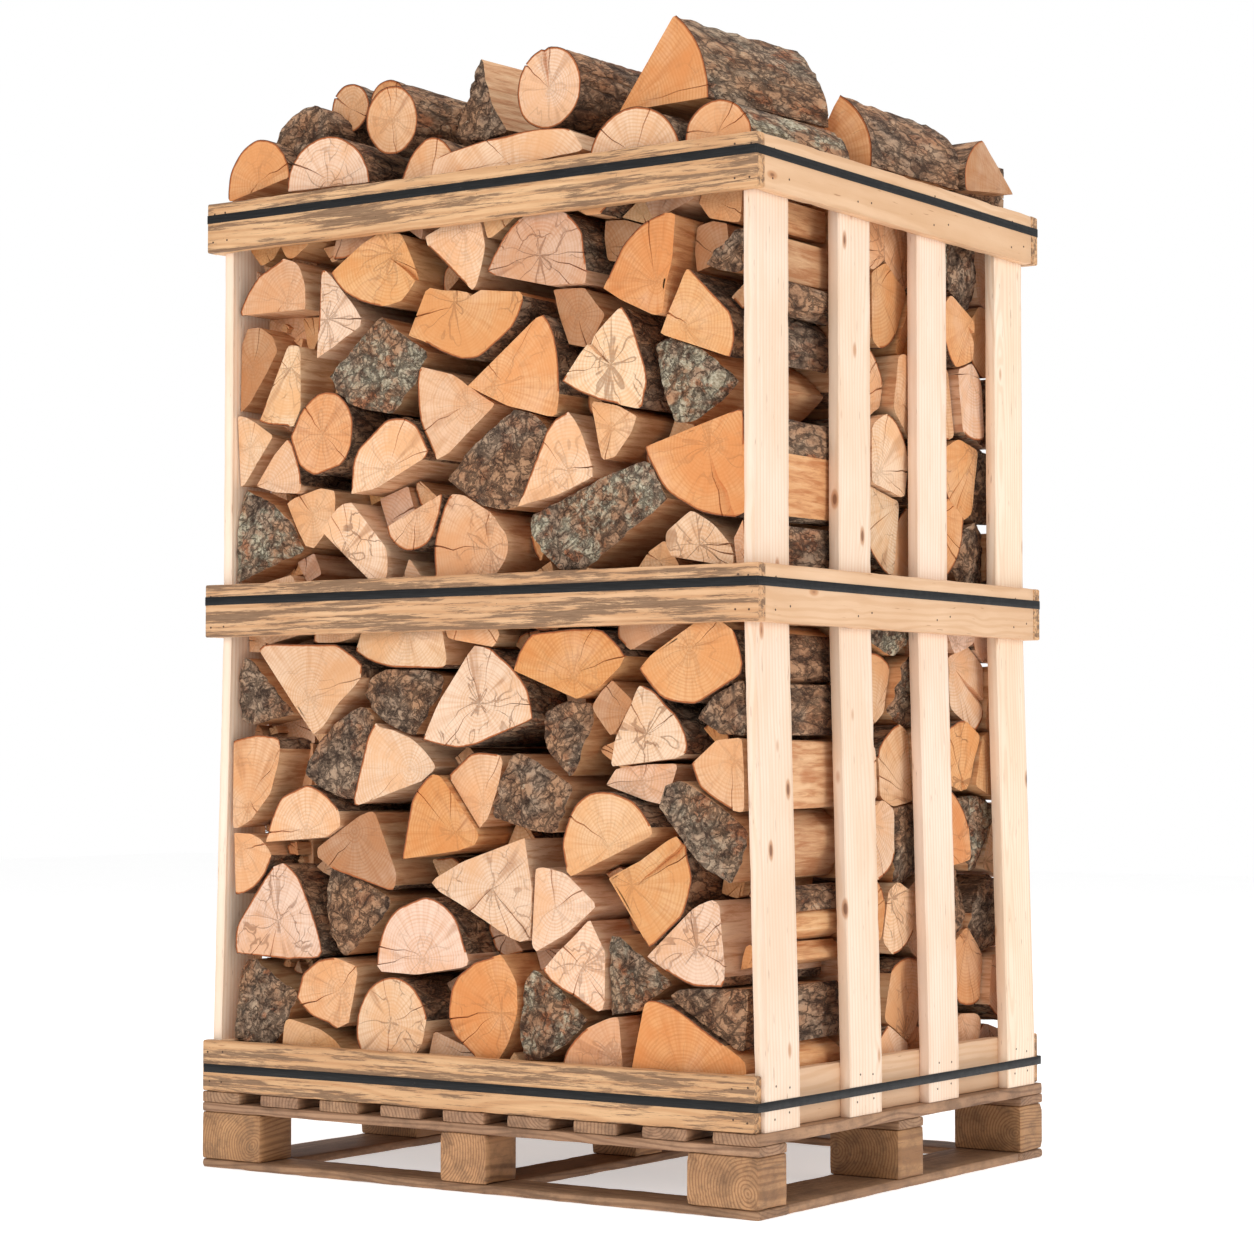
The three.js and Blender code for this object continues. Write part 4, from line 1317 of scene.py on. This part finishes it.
def boards(name, nodes, grain, material, slot, seed, **kwargs):
    pile = Pile()
    for i, node in enumerate(nodes):
        low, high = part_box(node)
        axis = grain
        if grain is None:
            axis = int(np.argmax(np.array(high) - np.array(low)))
        add_board(pile, low, high, axis, seed + i, **kwargs)
    return pile.build(name, [material], nodes, sharp=50)


def post_lean(node):
    """Boards' own copy of how a post's foot leans out over the low collar."""
    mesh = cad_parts[node].data
    co = np.array([v.co[:] for v in mesh.vertices])
    side = 1 if co[:, 0].mean() > 0 else -1
    outer = {}
    for x, z in zip(np.abs(co[:, 0]), co[:, 2]):
        outer[round(z, 4)] = max(outer.get(round(z, 4), 0), x)
    zs = sorted(outer)
    xs = [outer[z] for z in zs]
    top = min(xs)

    def move(points):
        points = points.copy()
        points[:, 0] += side * (np.interp(points[:, 2], zs, xs) - top)
        return points

    return move, side, top


# ================================================================= the object

LOG_LOOK = [end_grain(), split_side(), bark()]

front = front_row()
split_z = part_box("stack_upper")[0].z


def chosen(logs, keep):
    out = Set()
    for ring, info in zip(logs.rings, logs.info):
        if keep(ring.mean(0)):
            out.rings.append(ring)
            out.info.append(info)
    return out


def log_piece(name, logs, front_at, length, facing, node, **kwargs):
    pile = Pile()
    loft_set(logs, pile, front_at, length, facing, **kwargs)
    return pile.build(name, LOG_LOOK, (node,))


THIRDS = (-150 * MM, 220 * MM)  # where the front row is parted into pieces
BAYS = (("lower", "stack_lower", 0, split_z), ("upper", "stack_upper", split_z, 9))
for label, node, low_z, high_z in BAYS:
    for side, x0, x1 in (("left", -1, THIRDS[0]), ("mid", *THIRDS), ("right", THIRDS[1], 1)):
        part = chosen(front, lambda m: low_z <= m[1] < high_z and x0 <= m[0] < x1)
        log_piece(f"logs_front_{label}_{side}", part, FACE_Y, ROW, 0, node)

COARSE = (0, 0.004, 0.014, 0.03, 0.055, 0.09, 0.14, 0.2, 0.26)
GROUPS = (
    # name, facing, lowest and highest across, where the front is, seed, size across and up
    ("right", 90, (-140 * MM, 470 * MM), -553 * MM, 2000, 135 * MM, 128 * MM),
    ("back", 180, (-225 * MM, 553 * MM), -472 * MM, 3000, 155 * MM, 138 * MM),
    ("left", -90, (-140 * MM, 140 * MM), -553 * MM, 4000, 140 * MM, 140 * MM),
)
for name, facing, (a0, a1), front_at, seed, across, up in GROUPS:
    logs = cell_row((a0, STACK_LOW + 1 * MM), (a1, STACK_HIGH), seed, across, up)
    for label, node, low_z, high_z in BAYS:
        part = chosen(logs, lambda m: low_z <= m[1] < high_z)
        log_piece(f"logs_{name}_{label}", part, front_at, ROW - 5 * MM, facing, node, stations=COARSE)

# ---------------------------------------------------------------- the heap
# x, y (middle of its length), z of the pith, radius, the sector it keeps, length, heading, look
# A log named in the CAD keeps the CAD's own place and size.
CAD_HEAP = {
    "heap_log_1": (296, -255, 1850, 192, 0, 53, 340, 6, "orange", 0.35, 0.5),
    "heap_log_2": (508, -312, 1772, 66, 0, 180, 310, 2, "tan", 0.2, 0.95),
    "heap_log_3": (440, 90, 1800, 135, -8, 58, 320, 2, "gold", 0.4, 0.2),
    "heap_log_4": (144, -275, 1909, 72, 0, 360, 320, 4, "pink", 0.4, 0.3),
    "heap_log_5": (-34, -240, 1994, 147, -118, -68, 300, 8, "bark", 0.3, 0.15),
    "heap_log_6": (-205, -260, 1896, 62, 0, 360, 330, 7, "tan", 0.4, 0.5),
    "heap_log_7": (334, -312, 1748, 98, 0, 180, 310, 0, "pale", 0.2, 0.3),
    "heap_log_8": (-345, -300, 1782, 92, 0, 180, 320, 0, "pink", 0.7, 0.3),
}
# x, z of the end's middle, width, height, shape, bark at, tone, front y, length, look, moss
MORE_HEAP = [
    (-518, 1835, 145, 110, "half", 100, "gold", -450, 290, 0.3, 0.2),
    (-455, 1895, 135, 120, "most", 60, "bark", -400, 260, 0.2, 0.15),
    (-400, 1955, 95, 90, "round", 0, "tan", -330, 250, 0.2, 0.2),
    (-310, 1955, 85, 85, "round", 0, "gold", -330, 280, 0.3, 0.4),
    (-100, 1960, 85, 75, "most", 100, "bark", -300, 260, 0.2, 0.5),
    (65, 1797, 330, 66, "slab", 95, "pale", -468, 310, 0.2, 0.3),
    (-110, 1800, 150, 95, "low", 90, "tan", -455, 300, 0.3, 0.3),
]
HEAP_STATIONS = (0, 0.004, 0.012, 0.02, *(0.03 + 0.012 * k for k in range(9)),
                 *(0.14 + 0.015 * k for k in range(12)))
HEAP_LIMIT = (np.array([-596 * MM, -478 * MM, STACK_LOW]),
              np.array([596 * MM, 478 * MM, cad_box[1][2] - 0.5 * MM]))


def real_sector(radius, a0, a1, rng):
    """The outline of a sector of a log, its pith at (0, 0), a little short so that it fits its CAD solid."""
    r = radius * MM
    if a1 - a0 >= 360:
        corners = [(r, 0, 0.5, 1), (-r, 0, 0.5, 1)]
    else:
        span = math.radians(a1 - a0)
        bulge = (1 - math.cos(span / 2)) / (2 * math.sin(span / 2))
        p0 = (r * math.cos(math.radians(a0)), r * math.sin(math.radians(a0)))
        p1 = (r * math.cos(math.radians(a1)), r * math.sin(math.radians(a1)))
        corners = [(*p0, bulge, 1), (*p1, 0, 0)] + ([] if a1 - a0 == 180 else [(0, 0, 0, 0)])
    pts, bark = walk(corners)
    middle = pts.mean(0)
    rough = np.clip(wave_ring(RING, rng, 9, 0.8), -1, 0.2) * (0.03 * bark + 0.012)
    return middle + (pts - middle) * (1 + rough)[:, None], bark


heap = Pile()
for i, (node, (x, y, z, r, a0, a1, length, heading, tone, look, moss)) in enumerate(CAD_HEAP.items()):
    rng = np.random.default_rng(5000 + i)
    ring, bark_flag = real_sector(r, a0, a1, rng)
    covered = tone == "bark"
    add_log(heap, ring, bark_flag, np.zeros(2), np.array(TONES["tan" if covered else tone]), 5000 + i,
            -length / 2 * MM, length * MM, facing=-heading, place=(x * MM, y * MM, z * MM),
            bark_front=covered, cracks=3, crack_look=look, moss=moss, stations=HEAP_STATIONS,
            limit=HEAP_LIMIT)
heap.build("heap_logs", LOG_LOOK, tuple(CAD_HEAP))

heap = Pile()
for i, (x, z, w, h, kind, bark_at, tone, y, length, look, moss) in enumerate(MORE_HEAP):
    rng = np.random.default_rng(5100 + i)
    ring, bark_flag, pith = end_outline(kind, w * MM, h * MM, bark_at, rng)
    covered = tone == "bark"
    add_log(heap, ring, bark_flag, pith, np.array(TONES["tan" if covered else tone]), 5100 + i, 0,
            length * MM, place=(x * MM, y * MM, z * MM), bark_front=covered, cracks=3, crack_look=look,
            moss=moss, stations=HEAP_STATIONS, limit=HEAP_LIMIT)
ring, bark_flag, pith = end_outline("wedge", 200 * MM, 105 * MM, 160, np.random.default_rng(5150))
add_log(heap, ring, bark_flag, pith, np.array(TONES["brown"]), 5150, 0, 250 * MM, facing=90,
        place=(585 * MM, 335 * MM, 1838 * MM), cracks=2, crack_look=0.3, moss=0.4, stations=HEAP_STATIONS,
        limit=HEAP_LIMIT)
heap.build("heap_more", LOG_LOOK, ("heap_mound",))


def drop_row(x0, x1, seed, top_at):
    """Logs dropped one by one into the lowest place of a row, until they reach top_at(x)."""
    rng = np.random.default_rng(seed)
    floor_z = STACK_HIGH
    placed = []
    while len(placed) < 40:
        r = rng.uniform(52, 80) * MM
        xs = np.arange(x0 + r, x1 - r, 6 * MM)
        zs = np.full(len(xs), floor_z + r)
        for px, pz, pr in placed:
            dx = np.abs(xs - px)
            hit = dx < r + pr
            zs[hit] = np.maximum(zs[hit], pz + np.sqrt((r + pr) ** 2 - dx[hit] ** 2))
        tops = np.array([top_at(x) for x in xs])
        zs = zs + np.where(zs + r > tops, 9, 0)
        k = zs.argmin()
        if zs[k] > 9:
            break
        placed.append((xs[k], zs[k], r))
    out = Set()
    names = ("pink", "pale", "tan", "gold", "orange", "brown")
    kinds = ("half", "quarter", "most", "round", "fan", "quarter", "tri")
    for k, (px, pz, pr) in enumerate(placed):
        ring, bark, pith = end_outline(kinds[rng.integers(7)], pr * 2.15, pr * 2.05, rng.uniform(0, 360), rng)
        at = np.array([px, pz])
        out.add(ring + at, bark, pith + at, tone=names[rng.integers(6)], front=rng.uniform(0, 20) * MM,
                seed=seed + k, cracks=3, crack_look=rng.uniform(0.2, 0.9), moss=rng.uniform(0, 1))
    settle(out, np.array([x0, floor_z]), np.array([x1, 1.99]))
    return out


def top_front(x):
    return 1.775 if x > 0.43 else 1.93


def top_back(x):
    return 1.775 if x > 0.31 else 1.90


rear = drop_row(-0.55, 0.55, 6000, top_back)
log_piece("heap_rear", rear, -474 * MM, 298 * MM, 180, "heap_mound", limit=HEAP_LIMIT)
middle_row = drop_row(-0.55, 0.55, 6100, top_front)
log_piece("heap_middle", middle_row, -145 * MM, 305 * MM, 0, "heap_mound", limit=HEAP_LIMIT)

# ------------------------------------------------------------ pallet and crate

PALLET = board_wood("pallet_pine", linear(182, 142, 110), linear(108, 76, 54), 0.0075, 0.55, mould=0.55,
                    dirt=0.5)
BLOCK = board_wood("block_pine", linear(196, 148, 104), linear(122, 82, 52), 0.006, 0.6, mould=0.6, dirt=0.5)
STAINED = board_wood("collar_pine_stained", linear(230, 186, 142), linear(190, 136, 90), 0.012, 0.45,
                     mould=0.85)
SIDE = board_wood("collar_pine_pale", linear(230, 192, 156), linear(204, 156, 112), 0.011, 0.35, knots=0.35)
POST = board_wood("post_pine", linear(248, 226, 206), linear(230, 192, 156), 0.0095, 0.42, knots=0.8)

def nodes_named(start, end=""):
    return [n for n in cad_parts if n.startswith(start) and n.endswith(end)]


boards("pallet_base_boards", nodes_named("base_"), None, PALLET, "pallet_wood", 7000,
       stain=0.6, ease=3, wear=1.4)
boards("pallet_blocks", nodes_named("block_"), 1, BLOCK, "block_wood", 7100,
       stain=0.4, ease=2.5, wear=1.2)
boards("pallet_top_boards", nodes_named(("stringer_", "deck_")), None, PALLET,
       "pallet_wood", 7200, stain=0.4, ease=2)
boards("collars_front_back", nodes_named("collar_", ("front", "back")),
       0, STAINED, "collar_stained", 7300, stain=1.0, ease=2)
boards("collars_sides", nodes_named("collar_", ("left", "right")),
       1, SIDE, "collar_pale", 7400, ease=1.6)
for side in ("left", "right"):
    pile = Pile()
    nodes = nodes_named(f"post_{side}_")
    for i, node in enumerate(nodes):
        move, sign, outer = post_lean(node)
        low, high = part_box(node)
        thick = 20 * MM
        xs = sorted((sign * outer, sign * (outer - thick)))
        add_board(pile, (xs[0], low[1], low[2]), (xs[1], high[1], high[2]), 2,
                  7500 + 10 * i + (sign > 0), ease=1.2, lean=move, wear=0.4)
    pile.build(f"posts_{side}", [POST], nodes, sharp=50)

# ---------------------------------------------------------------------- straps


def strap_material():
    s = Shader("strap_black")
    geo = s.tree.nodes.new("ShaderNodeNewGeometry")
    at = geo.outputs["Position"]
    grain = s.noise(s.vector("MULTIPLY", at, (6.0, 6.0, 260.0)), 3.0, 3.0, 0.6)
    scuffs = s.noise(at, 60.0, 4.0, 0.7)
    colour = s.mix(s.step(grain, 0.4, 0.7), linear(16, 16, 17), linear(34, 34, 35))
    colour = s.mix(s.step(scuffs, 0.62, 0.76, (0.0, 0.3)), colour, linear(80, 77, 74))
    return s.finish(colour, s.step(scuffs, 0.3, 0.8, (0.38, 0.55)), s.bump(grain, 0.25, 0.0006), 0.25)


STRAP = strap_material()


def rounded_loop(half_x, half_y, radius, step):
    """Points and outward directions around a rectangle with round corners."""
    pts, outs = [], []
    for cx, cy, start in ((1, -1, -90), (1, 1, 0), (-1, 1, 90), (-1, -1, 180)):
        mx, my = cx * (half_x - radius), cy * (half_y - radius)
        for k in range(7):
            t = math.radians(start + 15 * k)
            d = np.array([math.cos(t), math.sin(t)])
            pts.append(np.array([mx, my]) + d * radius)
            outs.append(d)
        length = 2 * (half_y if start in (-90, 90) else half_x)
        last, d = pts[-1], outs[-1]
        run = np.array([-d[1], d[0]])
        n = int(length / step)
        for k in range(1, n):
            pts.append(last + run * (length - 2 * radius) * k / n)
            outs.append(d)
    return np.array(pts), np.array(outs)


def strap_loop(name, seed):
    """A band of plastic strap around the crate, as one closed loop."""
    low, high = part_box(name)
    rng = np.random.default_rng(seed)
    half_x, half_y = high[0] - 0.2 * MM, high[1] - 0.2 * MM
    pts, outs = rounded_loop(half_x, half_y, 3.5 * MM, 0.03)
    n = len(pts)
    wave = wave_ring(n, rng, 9, 0.6) * 0.9 * MM
    half_h = (high[2] - low[2]) / 2 - 0.9 * MM
    zc = (high[2] + low[2]) / 2
    profile = [(0.0, -half_h), (0.25, -half_h), (0.45, -half_h * 0.96), (0.45, half_h * 0.96),
               (0.25, half_h), (0.0, half_h), (-0.45, half_h), (-0.45, -half_h)]
    rows = []
    for o, dz in profile:
        xy = pts + outs * (o - 0.45) * MM
        rows.append(np.column_stack([xy, zc + dz + wave]))
    grid = np.array(rows)
    m = len(profile)
    idx = np.arange(m * n).reshape(m, n)
    faces = np.stack([idx, np.roll(idx, -1, 1), np.roll(np.roll(idx, -1, 0), -1, 1), np.roll(idx, -1, 0)], -1)
    mesh = bpy.data.meshes.new(name + "_band")
    mesh.from_pydata(grid.reshape(-1, 3).tolist(), [], faces.reshape(-1, 4).tolist())
    mesh.polygons.foreach_set("use_smooth", np.ones(len(mesh.polygons), bool))
    mesh.set_sharp_from_angle(angle=math.radians(40))
    mesh.materials.append(STRAP)
    obj = bpy.data.objects.new(name + "_band", mesh)
    bpy.context.scene.collection.objects.link(obj)
    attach(obj, "root")
    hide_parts(name)


for k, name in enumerate(("strap_low", "strap_mid", "strap_top")):
    strap_loop(name, 8000 + k)

# ----------------------------------------------------------------------- nails


def nail_material():
    s = Shader("nail_steel")
    geo = s.tree.nodes.new("ShaderNodeNewGeometry")
    rust = s.noise(geo.outputs["Position"], 400.0, 3.0, 0.6)
    colour = s.mix(s.step(rust, 0.4, 0.62), linear(64, 54, 48), linear(104, 74, 54))
    s.surface.inputs["Metallic"].default_value = 0.6
    return s.finish(colour, 0.45, s.bump(rust, 0.3, 0.0004), 0.5)


def add_nail(pile, at, normal, radius):
    normal = np.array(normal, float)
    other = np.array([0, 0, 1.0]) if abs(normal[2]) < 0.5 else np.array([1.0, 0, 0])
    a = np.cross(other, normal)
    b = np.cross(normal, a)
    t = np.arange(12) * math.pi / 6
    ring = np.cos(t)[:, None] * a + np.sin(t)[:, None] * b
    heights = ((0.55, 0.45), (1.0, 0.25), (1.0, -0.5))
    at = np.array(at, float)
    rings = np.array([at + ring * radius * s + normal * h * MM for s, h in heights])
    n = len(t)
    blank = np.zeros((3, n, 3))
    mix = np.zeros((3, n, 4))
    pile.loft(rings, at + normal * 0.5 * MM, at - normal * 0.5 * MM, blank, np.zeros(3), np.zeros(3),
              np.ones(3), mix, np.zeros(4), np.zeros(4), np.zeros((2, n), int), 0, 0)


NAIL_RADIUS = 1.9 * MM
nails = Pile()
rng = np.random.default_rng(8100)
for level in ("low", "mid", "top"):
    for side, sign in (("left", -1), ("right", 1)):
        low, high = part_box(f"collar_{level}_{side}")
        face = sign * max(abs(low[0]), abs(high[0]))
        for i in range(1, 5):
            plow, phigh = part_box(f"post_{side}_{i}")
            for dy, dz in ((0.25, 0.24), (0.7, 0.3), (0.3, 0.76), (0.72, 0.7)):
                y = plow[1] + (phigh[1] - plow[1]) * dy + rng.uniform(-4, 4) * MM
                z = low[2] + (high[2] - low[2]) * dz + rng.uniform(-3, 3) * MM
                if level == "low":
                    add_nail(nails, (phigh[0] if sign > 0 else plow[0], y, z), (sign, 0, 0), NAIL_RADIUS)
                else:
                    add_nail(nails, (face, y, z), (sign, 0, 0), NAIL_RADIUS)
    for side, sign in (("front", -1), ("back", 1)):
        low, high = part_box(f"collar_{level}_{side}")
        face = low[1] if sign < 0 else high[1]
        for x in (low[0] + 14 * MM, low[0] + 45 * MM, high[0] - 14 * MM, high[0] - 40 * MM):
            for dz in (0.2, 0.45, 0.78):
                z = low[2] + (high[2] - low[2]) * dz + rng.uniform(-3, 3) * MM
                if abs(z - (low[2] + high[2]) / 2) > 0.013:
                    add_nail(nails, (x + rng.uniform(-4, 4) * MM, face, z), (0, sign, 0), NAIL_RADIUS)
nails.build("nails", [nail_material()])

# ---------------------------------------------------- floor, light and camera


def floor_material():
    s = Shader("floor_white")
    geo = s.tree.nodes.new("ShaderNodeNewGeometry")
    soft = s.noise(geo.outputs["Position"], 3.0, 2.0)
    colour = s.mix(s.step(soft, 0.3, 0.7), (0.93, 0.93, 0.93), (0.95, 0.95, 0.95))
    s.surface.inputs["Emission Color"].default_value = (1, 1, 1, 1)
    s.surface.inputs["Emission Strength"].default_value = 0.46
    return s.finish(colour, 0.9, None, 0.1)


half = 14.0  # metres: half the floor's side
mesh = bpy.data.meshes.new("floor")
mesh.from_pydata([(-half, -half, 0), (half, -half, 0), (half, half, 0), (-half, half, 0)], [], [(0, 1, 2, 3)])
mesh.materials.append(floor_material())
floor = bpy.data.objects.new("floor", mesh)
bpy.context.scene.collection.objects.link(floor)

bpy.context.scene.view_settings.view_transform = "Standard"
world = bpy.data.worlds.new("studio")
world.use_nodes = True
world.node_tree.nodes["Background"].inputs["Color"].default_value = (1, 1, 1, 1)
world_nodes = world.node_tree.nodes
sky = world_nodes["Background"]
sky.inputs["Strength"].default_value = 0.55
backdrop = world_nodes.new("ShaderNodeBackground")
backdrop.inputs["Color"].default_value = (1, 1, 1, 1)
chooser = world_nodes.new("ShaderNodeMixShader")
ray = world_nodes.new("ShaderNodeLightPath")
world.node_tree.links.new(ray.outputs["Is Camera Ray"], chooser.inputs[0])
world.node_tree.links.new(sky.outputs[0], chooser.inputs[1])
world.node_tree.links.new(backdrop.outputs[0], chooser.inputs[2])
world.node_tree.links.new(chooser.outputs[0], world_nodes["World Output"].inputs["Surface"])
bpy.context.scene.world = world


def lamp(name, place, target, size, power):
    data = bpy.data.lights.new(name, "AREA")
    data.shape = "SQUARE"
    data.size = size
    data.energy = power
    obj = bpy.data.objects.new(name, data)
    obj.location = place
    way = np.array(target) - np.array(place)
    down = math.atan2(math.hypot(way[0], way[1]), -way[2])
    obj.rotation_euler = (down, 0, math.atan2(way[1], way[0]) - math.pi / 2)
    bpy.context.scene.collection.objects.link(obj)


lamp("key", (0.4, -6.2, 2.6), (0, 0, 1.0), 2.4, 108)
lamp("side", (6.0, -0.6, 2.8), (0, 0, 1.0), 2.4, 90)
lamp("top", (0.0, 0.0, 6.0), (0, 0.01, 0), 5.0, 150)

CAMERA_PLACE = (3.282, -4.772, 0.740)
CAMERA_TILT, CAMERA_TURN = 92.47, 34.53  # degrees
camera_data = bpy.data.cameras.new("camera")
camera_data.sensor_width = 36
camera_data.lens = 89.3
camera = bpy.data.objects.new("camera", camera_data)
camera.location = CAMERA_PLACE
camera.rotation_euler = (math.radians(CAMERA_TILT), 0, math.radians(CAMERA_TURN))
bpy.context.scene.collection.objects.link(camera)
bpy.context.scene.camera = camera
